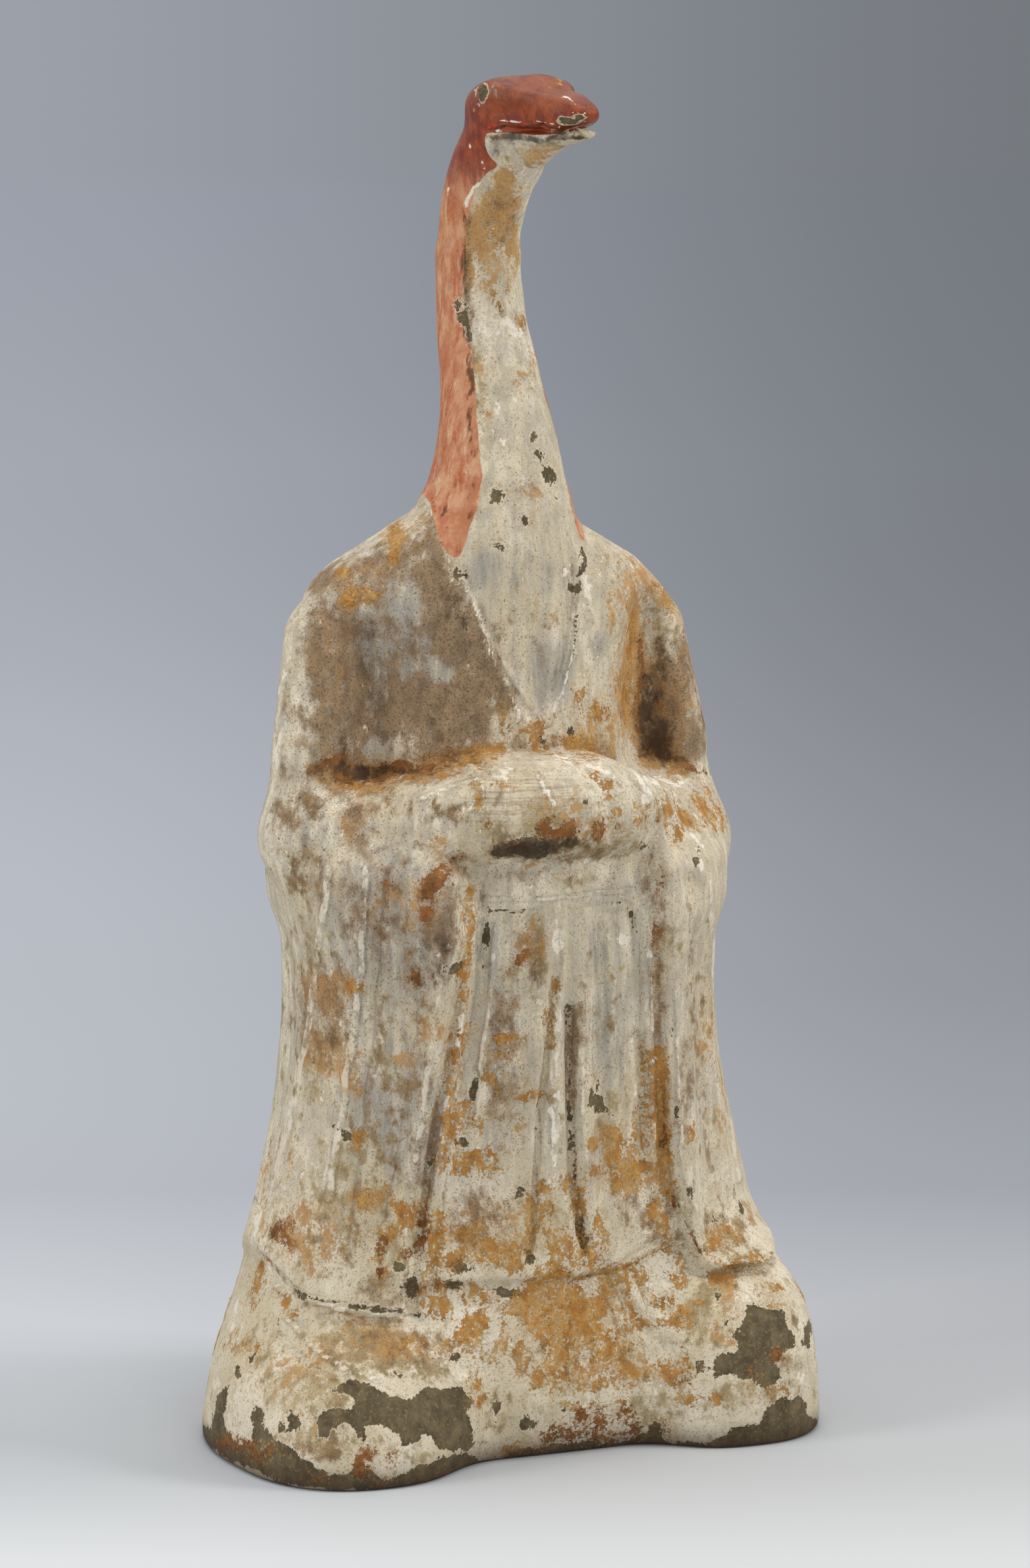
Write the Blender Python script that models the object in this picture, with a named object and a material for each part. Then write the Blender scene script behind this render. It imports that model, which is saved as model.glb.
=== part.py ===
"""Zodiac figure with a snake's head: one solid of moulded earthenware.

A robed figure kneels facing -Y and stands on its flat underside, whose middle is the origin.
Its hands are joined in wide sleeves that hang to the knees, and a long neck rises from the
collar to a flat snake's head, which is turned a little to the figure's left (+X).

The form is a set of signed distances, negative inside. They are joined softly, raised and cut
by shallow relief, and skinned with rings of points from the foot up the neck to the snout.
"""

import math

import bpy
import numpy as np

NAME = "zodiac_snake_figure"

# Driving size, foot to crown, in metres.
HEIGHT = 0.300

# Every length below is in parts. The height has 300 of them, so the figure keeps its proportions.
PARTS_IN_HEIGHT = 300
PART = HEIGHT / PARTS_IN_HEIGHT

# The sections are set out from the neck, which stands this far ahead of the middle of the foot.
FOOT_BEHIND = 1.35

# Sections of the robe, bottom to top: height, middle sideways, half width, front, back and squareness.
ROBE = (
    (-12, 0.0, 66.5, -27.5, 42.5, 2.5),
    (0, 0.0, 66.5, -28.0, 42.5, 2.5),
    (12, 0.0, 65.5, -30.5, 42.5, 2.5),
    (26, 0.0, 62.0, -29.0, 41.5, 2.5),
    (40, 0.0, 57.5, -27.0, 40.0, 2.4),
    (55, 0.7, 53.0, -27.0, 38.5, 2.4),
    (85, 0.2, 46.5, -27.5, 36.0, 2.4),
    (112, 0.0, 44.5, -28.0, 35.0, 2.3),
    (128, 0.0, 43.0, -27.5, 35.0, 2.3),
    (140, -0.5, 40.0, -17.0, 35.0, 2.3),
    (150, -0.8, 35.5, -11.5, 35.0, 2.3),
    (165, -1.0, 34.0, -10.0, 35.0, 2.3),
    (174, -1.3, 35.5, -9.5, 35.0, 2.3),
    (181, -1.5, 39.5, -9.5, 34.5, 2.3),
    (187, -1.5, 40.0, -9.0, 33.5, 2.2),
    (193, -1.5, 35.5, -8.5, 31.5, 2.1),
    (198, -2.1, 27.6, -8.5, 29.0, 2.0),
    (202, -2.3, 21.0, -8.5, 26.5, 2.0),
    (207, -0.5, 15.5, -8.0, 22.5, 2.0),
)

# The neck below the bend: height, middle sideways, middle front to back and radius.
NECK = (
    (186, -0.3, 6.0, 17.3),
    (197, -0.3, 6.0, 17.2),
    (205, -0.3, 6.0, 16.0),
    (212, 0.0, 6.2, 15.0),
    (222, 0.2, 7.2, 12.9),
    (235, 0.1, 11.0, 11.0),
    (250, -0.2, 16.0, 9.8),
    (262, -0.6, 16.4, 8.9),
    (270, -0.6, 16.4, 6.5),
)

# The head: place of its middle, and its turn and sideways lean in degrees.
HEAD_AT = np.array((3.6, -2.3, 292.5))
HEAD_TURN, HEAD_LEAN = math.radians(12), math.radians(4.5)
MOUTH_DROP = 4.0

# The neck bends forward about a point ahead of the head's middle and below it.
BEND_AHEAD, BEND_HEIGHT = 12.0, 262.0
BEND_END = math.radians(58)

# Upper ends and elbows of the arms, the figure's right one first.
SHOULDERS = ((-39.0, 8.5, 178.0), (34.8, 8.5, 177.0))
ELBOWS = ((-44.2, 4.0, 135.0), (42.4, 4.0, 131.0))

# Inner edges of the hanging sleeves: height and distance from the middle. And their hems: that
# distance and height.
RIGHT_EDGE = ((30, 42, 71, 95, 117, 130), (33.5, 32.5, 28.5, 24.6, 21.2, 21.5))
LEFT_EDGE = ((36, 42, 59, 72, 126), (36.0, 34.0, 28.6, 26.9, 23.8))
RIGHT_HEM = ((30, 42, 52, 57, 61), (33.2, 34.4, 36.2, 41.5, 56.0))
LEFT_HEM = ((30, 40, 50, 62), (41.0, 38.2, 38.2, 41.0))

# Short folds across the sleeve ends: upper end, lower end and height.
ROLL_FOLDS = (
    ((-24, 146), (-27, 140), 0.8),
    ((-14, 150), (-11, 138), 0.7),
    ((3, 152), (8, 137), 0.8),
    ((12, 151), (18, 137), 0.8),
    ((20, 149), (26, 136), 0.9),
    ((28, 146), (33, 134), 0.7),
)

# The core that the skin's rays start on: height and place of its middle, front to back and
# sideways, and its half width.
CORE_DEEP = ((0, 60, 120, 150, 175, 200, 235, 262), (6, 6, 8, 17, 17, 8, 11, 16.4))
CORE_ACROSS = ((0, 235, 262), (0, 0, -0.6))
CORE_WIDE = ((0, 120, 145, 165, 185, 200, 215), (38, 38, 28, 26, 22, 8, 0))

# The skin: points around, rings up the body, neck's bend and head, how far points crowd to the
# front, rays that run down the sleeves' edges in degrees from straight ahead, how far out rays
# start, and the triangles it is thinned to.
AROUND, BODY_RINGS, BEND_RINGS, HEAD_RINGS = 200, 220, 44, 20
FRONT_SHARE = 0.3
EDGE_RAYS = (-27.0, 26.0)
FRONT_DEPTH = 31.0
REACH, NECK_REACH, NECK_START = 90.0, 26.0, 207.0
TRIANGLES = 9400
FOOT_SLACK = 0.12

FORWARD = np.array((math.sin(HEAD_TURN), -math.cos(HEAD_TURN), 0.0))
LEFT = np.array((math.cos(HEAD_TURN), math.sin(HEAD_TURN), 0.0))
UP = np.array((0.0, 0.0, 1.0))
BEND_AT = np.array((HEAD_AT[0], HEAD_AT[1], BEND_HEIGHT)) + BEND_AHEAD * FORWARD


def soft_union(a, b, blend):
    """Joins two distances with a fillet about as wide as blend."""
    h = np.clip(0.5 + 0.5 * (b - a) / blend, 0, 1)
    return b * (1 - h) + a * h - blend * h * (1 - h)


def soft_overlap(a, b, blend):
    """Keeps what lies in both, with the edge rounded by about blend."""
    return -soft_union(-a, -b, blend)


def ease(x, low, high):
    """0 below low, 1 above high and a smooth rise between."""
    t = np.clip((x - low) / (high - low), 0, 1)
    return t * t * (3 - 2 * t)


def profile(at, places, values):
    """Smooth curve through the values, with no overshoot between them."""
    places = np.asarray(places, float)
    values = np.asarray(values, float)
    slope = np.diff(values) / np.diff(places)
    tangent = np.zeros_like(values)
    product = slope[:-1] * slope[1:]
    total = slope[:-1] + slope[1:]
    same_way = product > 0
    tangent[1:-1][same_way] = 2 * product[same_way] / total[same_way]
    i = np.clip(np.searchsorted(places, at) - 1, 0, len(places) - 2)
    span = places[i + 1] - places[i]
    t = np.clip((at - places[i]) / span, 0, 1)
    rise = t * t * (3 - 2 * t)
    bow = t * (1 - t) * span
    curve = bow * ((1 - t) * tangent[i] - t * tangent[i + 1])
    return values[i] + (values[i + 1] - values[i]) * rise + curve


def ellipsoid(p, centre, radii):
    """Distance to an ellipsoid, near enough for blending."""
    q = p - np.asarray(centre, float)
    radii = np.asarray(radii, float)
    size = np.sqrt(((q / radii) ** 2).sum(-1))
    slope = np.sqrt(((q / radii**2) ** 2).sum(-1)) + 1e-9
    return size * (size - 1) / slope


def pillow(p, centre, radii, power):
    """Ellipsoid with squarer shoulders."""
    q = np.abs(p - np.asarray(centre, float))
    scaled = ((q / np.asarray(radii, float)) ** power).sum(-1) ** (1 / power) + 1e-9
    return (scaled - 1) * np.linalg.norm(q, axis=-1) / scaled


def limb(p, start, end, start_radius, end_radius):
    """Round-ended cone from start to end."""
    start = np.asarray(start, float)
    axis = np.asarray(end, float) - start
    t = np.clip(((p - start) @ axis) / (axis @ axis), 0, 1)
    away = np.linalg.norm(p - (start + t[..., None] * axis), axis=-1)
    return away - (start_radius + (end_radius - start_radius) * t)


def stroke(x, z, line, width):
    """1 along a line on the figure's front, given as (x, z) points, and 0 beyond width from it."""
    nearest = np.full(x.shape, np.inf)
    for (x0, z0), (x1, z1) in zip(line[:-1], line[1:]):
        along = np.array([x1 - x0, z1 - z0], float)
        t = np.clip(((x - x0) * along[0] + (z - z0) * along[1]) / (along @ along), 0, 1)
        nearest = np.minimum(nearest, np.hypot(x - x0 - t * along[0], z - z0 - t * along[1]))
    return 1 - ease(nearest, 0, width)


def robe(p):
    """The robed body from foot to neck, without sleeves."""
    x, y, z = p[..., 0], p[..., 1], p[..., 2]
    heights, middle, half, front, back, square = np.array(ROBE, float).T
    middle = profile(z, heights, middle)
    half = profile(z, heights, half)
    front = profile(z, heights, front)
    back = profile(z, heights, back)
    square = profile(z, heights, square)
    across = np.abs(x - middle) / half
    deep = np.abs(y - (front + back) / 2) / ((back - front) / 2)
    scaled = (across**square + deep**square) ** (1 / square) + 1e-9
    reach = np.hypot(x - middle, y - (front + back) / 2) / scaled
    return soft_overlap(0.9 * (scaled - 1) * reach, z - ROBE[-1][0], 4)


def tilted(p, about, degrees):
    """Points seen from a form that leans about the Y axis."""
    angle = math.radians(degrees)
    q = p - np.asarray(about, float)
    x = q[..., 0] * math.cos(angle) - q[..., 2] * math.sin(angle)
    z = q[..., 0] * math.sin(angle) + q[..., 2] * math.cos(angle)
    return np.stack([x, q[..., 1], z], -1)


def knees(p):
    """The two knees under the robe, the figure's right one wider and lower."""
    right = pillow(tilted(p, (-42, -8, 5), 11), (0, 0, 0), (25.6, 32, 26), 2.3)
    left = pillow(tilted(p, (44.6, -8, 9), -3), (0, 0, 0), (23.2, 30.5, 33), 2.5)
    return np.minimum(right, left)


def sleeve_thickness(x, y, z):
    """How far the cloth of the hanging sleeves stands out from the robe."""
    soft = profile(z, (90, 125), (1.4, 4.0))
    right = ease(-x - profile(z, *RIGHT_EDGE), -soft, soft) * ease(z - profile(-x, *RIGHT_HEM), -0.9, 0.9)
    left = ease(x - profile(z, *LEFT_EDGE), -soft, soft) * ease(z - profile(x, *LEFT_HEM), -0.9, 0.9)
    rear = ease(profile(z, (30, 60, 100, 130), (14, 18, 20, 20)) - y, -5, 5)
    thick = profile(z, (40, 95, 110, 122, 132), (2.6, 3.0, 4.0, 6.8, 7.0))
    return (right + left) * rear * thick * ease(146 - z, 0, 12)


def sleeve_folds(x, y, z):
    """Soft upright folds of the hanging sleeves and, plainer, of the back."""
    around = np.degrees(np.arctan2(x, 4 - y))
    fall = ease(z, 34, 60) * ease(128 - z, 0, 26)
    waves = np.sin(np.radians(around * 9 + 20 * np.sin(z / 23.0)))
    waves = waves + 0.5 * np.sin(np.radians(around * 17 + z * 1.1))
    side = ease(np.abs(around), 33, 42) * ease(118 - np.abs(around), 0, 20)
    back = ease(np.abs(around), 120, 140)
    behind = np.sin(np.radians(around * 6)) * ease(z, 4, 30) * ease(175 - z, 0, 50)
    return 0.55 * waves * side * fall + 0.8 * behind * back


def panel_relief(x, z):
    """The robe's front between the sleeves: two sunk fields, pleats and the hem."""
    drop = 121.5 - z
    right_field = ease(x, -18.0 - 0.11 * drop, -15.6 - 0.11 * drop) * ease(-1.0 - 0.07 * drop - x, 0, 3)
    left_field = ease(x, 7.0 + 0.02 * drop, 9.6 + 0.02 * drop) * ease(20.2 + 0.065 * drop - x, 0, 2)
    h = -1.5 * (right_field + left_field) * ease(drop, 0, 2.5) * ease(z, 42, 70)
    h = h - 1.3 * stroke(x, z, ((3.1, 99), (4.1, 60), (7.2, 46)), 2.0)
    h = h - 0.9 * stroke(x, z, ((-0.8, 104), (-4.8, 58), (-6, 46)), 2.0)
    h = h + 0.7 * stroke(x, z, ((13, 112), (14.5, 75), (16, 50)), 3.0)
    hem = profile(x, (-34, -10, 8, 16, 25, 34), (40.5, 40, 39.2, 42, 45.5, 43))
    between = ease(x, -36, -31) * ease(38 - x, 0, 5)
    h = h + 1.7 * ease(z - hem, -0.9, 0.9) * ease(127 - z, 0, 10) * between
    h = h - 0.8 * stroke(x, z, ((12, 40), (17, 31), (23, 26)), 3.0)
    return h + 0.8 * stroke(x, z, ((16, 40), (22, 31), (27, 25)), 2.6)


def collar_relief(x, z):
    """The crossed lapels, which stand out around a bare V from the neck to the sleeves."""
    right_lapel = profile(z, (162, 195), (0.6, 15.2))
    left_lapel = profile(z, (160, 166, 174, 180, 198), (0.5, 9.1, 12.0, 14.0, 20.0))
    outside = np.maximum(ease(-x - right_lapel, -1.1, 1.1), ease(x - left_lapel, -1.1, 1.1))
    outside = np.maximum(outside, ease(161 - z, -1, 1))
    return 1.1 * outside * ease(204 - z, 0, 6) * ease(z, 148, 156)


def arm_hollows(p):
    """Depth of the grooves between the upper arms and the chest, each with a soft fold beside it."""
    near = limb(p, (-32.5, -3, 180), (-31.5, -7, 153), 0.5, 1.0)
    crease = limb(p, (-39.5, -3, 180), (-38.0, -7, 154), 0.2, 0.3)
    far = limb(p, (33.0, -2, 180), (32.0, -6, 153), 1.5, 2.5)
    depth = 0
    for line, deep, spread in ((near, 4.0, 9), (crease, 1.6, 4), (far, 7.5, 11)):
        depth = depth + deep * np.exp(-np.clip(line, 0, None) ** 2 / spread)
    return depth


def roll_folds(x, z):
    """Short slanted folds across the sleeve ends."""
    h = 0
    for start, end, height in ROLL_FOLDS:
        h = h + height * stroke(x, z, (start, end), 2.6)
    return h


def relief(p):
    """Height of the shallow carving over the masses."""
    x, y, z = p[..., 0], p[..., 1], p[..., 2]
    front = ease(-y, -12, -2)
    h = (panel_relief(x, z) + collar_relief(x, z)) * front
    h = h + roll_folds(x, z) * ease(-y, 8, 16)
    return h + sleeve_folds(x, y, z) - arm_hollows(p)


def arms(p):
    """Upper arms, forearms and the joined hands in one roll of sleeve."""
    joined = ellipsoid(p, (0.0, -23.5, 142.0), (19.0, 11.5, 10.8))
    for shoulder, elbow in zip(SHOULDERS, ELBOWS):
        side = math.copysign(1, elbow[0])
        upper = limb(p, shoulder, elbow, 9.2, 10.6)
        fore = limb(p, (elbow[0], elbow[1] - 1, elbow[2]), (side * 14.0, -22.5, 141.5), 10.4, 10.4)
        behind = limb(p, (side * 32.0, 17.0, 175.0), (side * 37.0, 15.0, 126.0), 11.0, 13.0)
        joined = soft_union(joined, soft_union(soft_union(upper, fore, 6), behind, 5), 5)
    return joined


def neck(p):
    """The neck below the bend."""
    x, y, z = p[..., 0], p[..., 1], p[..., 2]
    heights, middle_x, middle_y, radius = np.array(NECK, float).T
    away = np.hypot(x - profile(z, heights, middle_x), y - profile(z, heights, middle_y))
    return soft_overlap(0.97 * (away - profile(z, heights, radius)), z - NECK[-1][0], 2)


def bend(p):
    """The top of the neck, curving forward into the back of the head."""
    q = (p - BEND_AT) @ np.array([LEFT, FORWARD, UP]).T
    left, ahead, up = q[..., 0], q[..., 1], q[..., 2]
    angle = np.clip(np.arctan2(up, -ahead), 0, math.pi / 2)
    angle = np.where((ahead > 0) & (up < 0), 0, angle)
    angle = np.minimum(angle, BEND_END)
    quarter = angle / (math.pi / 2)
    out = profile(quarter, (0, 0.5, 1), (30.9, 30.3, 30.6))
    thick = profile(quarter, (0, 0.15, 0.45, 0.66), (8.6, 9.3, 10.2, 7.6))
    wide = profile(quarter, (0, 0.15, 0.45, 0.66), (8.6, 9.2, 9.3, 8.8))
    off_ahead = ahead + np.cos(angle) * out
    off_up = up - np.sin(angle) * out
    across = off_up * np.sin(angle) - off_ahead * np.cos(angle)
    along = off_ahead * np.sin(angle) + off_up * np.cos(angle)
    scaled = np.sqrt((across / thick) ** 2 + (left / wide) ** 2 + (along / wide) ** 2) + 1e-9
    return (scaled - 1) * np.sqrt(across**2 + left**2 + along**2) / scaled


def head(p):
    """The flat head with an eye lobe at each side, in its own axes: to its left, forward and up."""
    up = UP * math.cos(HEAD_LEAN) - LEFT * math.sin(HEAD_LEAN)
    left = LEFT * math.cos(HEAD_LEAN) + UP * math.sin(HEAD_LEAN)
    q = (p - HEAD_AT) @ np.array([left, FORWARD, up]).T
    skull = pillow(q, (0, -4.5, 0.2), (9.6, 12.0, 7.3), 2.4)
    muzzle = ellipsoid(q, (0, 10.8, -1.6), (6.6, 14.9, 4.6))
    d = soft_union(skull, muzzle, 4)
    for side, brow_end in ((-1, (-2.6, 20, 0.3)), (1, (3.0, 16, 0.6))):
        d = soft_union(d, limb(q, (side * 7.6, 1.5, 4.0), brow_end, 2.0, 1.3), 2.5)
        d = soft_union(d, ellipsoid(q, (side * 9.2, 0.2, 3.6), (2.3, 3.9, 3.1)), 1.2)
    throat = limb(q, (0, -7, -9.2), (0, 16.5, -5.2), 7.2, 1.6)
    jaw = pillow(q, (0, 8.4, -5.4), (5.9, 16.3, 1.9), 2.3)
    d = soft_union(soft_union(d, throat, 3.5), jaw, 1.6)
    mouth = np.abs(q[..., 2] + MOUTH_DROP)
    beside = ease(q[..., 1], -4, 2)
    gape = profile(q[..., 1], (0, 16, 27), (1.1, 1.0, 1.5))
    return d + 1.5 * beside * (1 - ease(mouth, 0.1 * gape, gape))


def form(p):
    """Distance to the whole figure."""
    d = soft_union(robe(p), knees(p), 10)
    d = d - sleeve_thickness(p[..., 0], p[..., 1], p[..., 2])
    d = soft_union(d, arms(p), 4.5)
    d = soft_union(d, neck(p), 6)
    d = d - relief(p)
    d = soft_union(d, bend(p), 2.5)
    d = soft_union(d, head(p), 3.0)
    return soft_overlap(d, -p[..., 2], 1.5)


def rings(body_rings, bend_rings, head_rings):
    """Centre, inner half width, side, front and ahead direction of each ring, from foot to snout."""
    found = []
    foot = (0.0, 0.25, 0.7, 1.4)
    for z in foot + tuple(np.linspace(2.4, BEND_HEIGHT, body_rings - len(foot))):
        centre = np.array((profile(z, *CORE_ACROSS), profile(z, *CORE_DEEP), z), float)
        found.append((centre, profile(z, *CORE_WIDE), (1, 0, 0), (0, -1, 0), (0, 0, 0)))
    start = found[-1][0] - BEND_AT
    mouth = np.array((0, 0, HEAD_AT[2] - MOUTH_DROP - BEND_HEIGHT))
    for i in range(1, bend_rings + 1):
        turn = math.pi / 2 * i / bend_rings
        arm = start * math.cos(turn) + mouth * math.sin(turn)
        out = arm / np.linalg.norm(arm)
        turned = ease(i / bend_rings, 0, 1)
        side = np.array((1.0, 0, 0)) * (1 - turned) + LEFT * turned
        side = side - out * (side @ out)
        found.append((BEND_AT + arm, 0, side / np.linalg.norm(side), -out, (0, 0, 0)))
    for i in range(1, head_rings + 1):
        turn = math.pi / 2 * i / (head_rings + 0.5)
        side, front, ahead = LEFT * math.cos(turn), -UP * math.cos(turn), FORWARD * math.sin(turn)
        found.append((BEND_AT + mouth, 0, side, front, ahead))
    return [np.array(part, float) for part in zip(*found)]


def leave_form(start, ray, reach):
    """Where rays leave the form, found by stepping inwards from their ends and then halving."""
    outer = reach.copy()
    inner = reach.copy()
    live = np.arange(len(reach))
    while len(live):
        gap = form(start[live] + ray[live] * inner[live, None])
        outside = gap > 0
        live = live[outside]
        outer[live] = inner[live]
        inner[live] -= np.clip(0.6 * gap[outside], 0.12, 12)
        live = live[inner[live] > 0]
    for _ in range(9):
        middle = (inner + outer) / 2
        inside = form(start + ray * middle[:, None]) < 0
        inner = np.where(inside, middle, inner)
        outer = np.where(inside, outer, middle)
    return start + ray * np.maximum(outer, 0.02)[:, None]


def ray_angles(around, front_share, centre, wide):
    """Angles of a ring's rays, closer together in front and kept to the sleeves' edges."""
    angle = np.arange(around) / around * 2 * math.pi - math.pi
    angle = angle - front_share * np.sin(angle)
    trial = np.linspace(0, 1.2, 60)
    meets = wide * np.sin(trial) + (centre[1] + FRONT_DEPTH) * (1 - wide / REACH) * np.tan(trial)
    bends = np.zeros(around)
    for side, (places, edges), ray in ((-1, RIGHT_EDGE, EDGE_RAYS[0]), (1, LEFT_EDGE, EDGE_RAYS[1])):
        edge = side * np.interp(profile(centre[2], places, edges), meets, trial)
        near = 1 - ease(np.abs(angle - math.radians(ray)), 0, math.radians(26))
        bends = bends + (edge - math.radians(ray)) * near * (1 - ease(centre[2], 132, 160))
    return angle + bends


def skin(around, body_rings, bend_rings, head_rings, front_share):
    """Points and faces of a closed mesh over the form."""
    centres, wides, sides, fronts, aheads = rings(body_rings, bend_rings, head_rings)
    angles = [ray_angles(around, front_share, centre, wide) for centre, wide in zip(centres, wides)]
    angles = np.stack(angles)[..., None]
    wides = wides[:, None, None]
    start = centres[:, None] + sides[:, None] * wides * np.sin(angles)
    rays = sides[:, None] * np.sin(angles) * (1 - wides / REACH) + fronts[:, None] * np.cos(angles)
    rays = rays + aheads[:, None]
    rays = rays / np.linalg.norm(rays, axis=-1, keepdims=True)
    reach = np.repeat(np.where(centres[:, 2] < NECK_START, REACH, NECK_REACH), around)
    points = leave_form(start.reshape(-1, 3), rays.reshape(-1, 3), reach)
    snout = leave_form(centres[-1:], FORWARD[None], reach[-1:])
    count = len(centres)
    index = np.arange(count * around).reshape(count, around)
    here, above = index[:-1], index[1:]
    quads = np.stack([here, np.roll(here, -1, 1), np.roll(above, -1, 1), above], -1).reshape(-1, 4)
    faces = [tuple(quad) for quad in quads.tolist()]
    tip = count * around
    faces.append(tuple(index[0, ::-1].tolist()))
    faces.extend((tip, a, b) for a, b in zip(index[-1].tolist(), np.roll(index[-1], -1).tolist()))
    return np.concatenate([points, snout]), faces


def build():
    """Builds the figure as one object, in metres."""
    points, faces = skin(AROUND, BODY_RINGS, BEND_RINGS, HEAD_RINGS, FRONT_SHARE)
    points = points - np.array((0, FOOT_BEHIND, 0))
    mesh = bpy.data.meshes.new(NAME)
    mesh.from_pydata([tuple(point) for point in (points * PART).tolist()], [], faces)
    mesh.update()
    figure = bpy.data.objects.new(NAME, mesh)
    bpy.context.scene.collection.objects.link(figure)
    thin = figure.modifiers.new("fewer faces", "DECIMATE")
    thin.ratio = TRIANGLES / (2 * len(points))
    graph = bpy.context.evaluated_depsgraph_get()
    thinned = bpy.data.meshes.new_from_object(figure.evaluated_get(graph))
    figure.modifiers.remove(thin)
    figure.data = thinned
    bpy.data.meshes.remove(mesh)
    for vertex in thinned.vertices:
        if vertex.co.z < FOOT_SLACK * PART:
            vertex.co.z = 0
    thinned.name = NAME
    return figure


def finish(figure):
    """Gives the figure its material."""
    material = bpy.data.materials.new("painted earthenware")
    material.use_nodes = True
    surface = material.node_tree.nodes["Principled BSDF"]
    surface.inputs["Base Color"].default_value = (0.56, 0.50, 0.41, 1)
    surface.inputs["Roughness"].default_value = 0.85
    figure.data.materials.clear()
    figure.data.materials.append(material)


def main():
    """Clears the scene and builds the figure."""
    for thing in list(bpy.data.objects):
        bpy.data.objects.remove(thing)
    finish(build())


if __name__ == "__main__":
    main()
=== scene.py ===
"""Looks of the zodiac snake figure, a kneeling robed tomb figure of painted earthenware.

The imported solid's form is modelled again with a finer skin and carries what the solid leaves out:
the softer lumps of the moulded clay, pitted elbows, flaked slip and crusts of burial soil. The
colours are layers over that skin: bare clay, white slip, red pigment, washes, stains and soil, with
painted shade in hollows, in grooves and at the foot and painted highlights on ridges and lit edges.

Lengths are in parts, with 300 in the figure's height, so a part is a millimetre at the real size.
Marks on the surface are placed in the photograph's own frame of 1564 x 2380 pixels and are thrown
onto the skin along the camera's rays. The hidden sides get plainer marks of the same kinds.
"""

import logging
import math
from dataclasses import dataclass
from enum import Enum

import bpy
import numpy as np
from mathutils import Matrix, Vector


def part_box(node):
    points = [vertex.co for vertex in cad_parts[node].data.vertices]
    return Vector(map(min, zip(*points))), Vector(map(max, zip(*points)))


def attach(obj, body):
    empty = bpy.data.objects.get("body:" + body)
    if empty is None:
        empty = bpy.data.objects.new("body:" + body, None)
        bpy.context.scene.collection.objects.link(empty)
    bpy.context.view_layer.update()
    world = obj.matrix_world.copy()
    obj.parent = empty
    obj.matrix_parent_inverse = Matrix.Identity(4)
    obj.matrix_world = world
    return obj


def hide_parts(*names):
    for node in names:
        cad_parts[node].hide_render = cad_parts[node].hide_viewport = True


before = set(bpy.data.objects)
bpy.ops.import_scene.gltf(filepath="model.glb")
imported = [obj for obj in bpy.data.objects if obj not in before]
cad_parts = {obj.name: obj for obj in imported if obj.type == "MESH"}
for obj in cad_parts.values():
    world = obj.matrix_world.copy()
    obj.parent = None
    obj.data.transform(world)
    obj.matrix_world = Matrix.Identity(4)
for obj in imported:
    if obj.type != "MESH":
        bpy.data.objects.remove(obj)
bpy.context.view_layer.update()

logging.basicConfig(level=logging.INFO, format="%(message)s")
log = logging.getLogger("zodiac figure")

Array = np.ndarray
Point = tuple[float, ...]
Curve = tuple[Point, Point]
Line = tuple[Point, ...]

HEIGHT = 0.300
PARTS_IN_HEIGHT = 300
PART = HEIGHT / PARTS_IN_HEIGHT

# The sections are set out from the neck, which stands this far ahead of the middle of the foot.
FOOT_BEHIND = 1.35

NODE = "zodiac_snake_figure"
BODY = "root"
SLOT = "painted_earthenware"

# Keeps a division from meeting nought.
TINY = 1e-9

# How often the stretch in which a ray leaves the form is halved.
HALVINGS = 9


def soft_union(a: Array, b: Array, blend: float) -> Array:
    """Joins two distances with a fillet.

    Args:
        a: First distance, negative inside.
        b: Second distance.
        blend: About how wide the fillet is.

    Returns:
        The distance to both together.
    """
    h = np.clip(0.5 + 0.5 * (b - a) / blend, 0, 1)
    return b * (1 - h) + a * h - blend * h * (1 - h)


def soft_overlap(a: Array, b: Array, blend: float) -> Array:
    """Keeps what lies in both.

    Args:
        a: First distance.
        b: Second distance.
        blend: About how far the edge is rounded.

    Returns:
        The distance to what they share.
    """
    return -soft_union(-a, -b, blend)


def ease(x: Array, low: float, high: float) -> Array:
    """Rises smoothly from 0 to 1.

    Args:
        x: Where it is wanted.
        low: Where it is still 0.
        high: Where it has reached 1.

    Returns:
        The value at each x.
    """
    t = np.clip((x - low) / (high - low), 0, 1)
    return t * t * (3 - 2 * t)


def profile(at: Array, places: Point, values: Point) -> Array:
    """Reads a smooth curve that doesn't overshoot between its points.

    Args:
        at: Where it is wanted.
        places: Places of the curve's points, rising.
        values: Their values.

    Returns:
        The curve's value at each place asked for.
    """
    places = np.asarray(places, float)
    values = np.asarray(values, float)
    slope = np.diff(values) / np.diff(places)
    tangent = np.zeros_like(values)
    product = slope[:-1] * slope[1:]
    total = slope[:-1] + slope[1:]
    same_way = product > 0
    tangent[1:-1][same_way] = 2 * product[same_way] / total[same_way]
    i = np.clip(np.searchsorted(places, at) - 1, 0, len(places) - 2)
    span = places[i + 1] - places[i]
    t = np.clip((at - places[i]) / span, 0, 1)
    rise = t * t * (3 - 2 * t)
    bow = t * (1 - t) * span
    curve = bow * ((1 - t) * tangent[i] - t * tangent[i + 1])
    return values[i] + (values[i + 1] - values[i]) * rise + curve


def ellipsoid(p: Array, centre: Point, radii: Point) -> Array:
    """Distance to an ellipsoid, near enough for blending.

    Args:
        p: Points.
        centre: Its middle.
        radii: Its three half widths.

    Returns:
        The distance of each point, negative inside.
    """
    q = p - np.asarray(centre, float)
    radii = np.asarray(radii, float)
    size = np.sqrt(((q / radii) ** 2).sum(-1))
    slope = np.sqrt(((q / radii**2) ** 2).sum(-1)) + TINY
    return size * (size - 1) / slope


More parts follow.
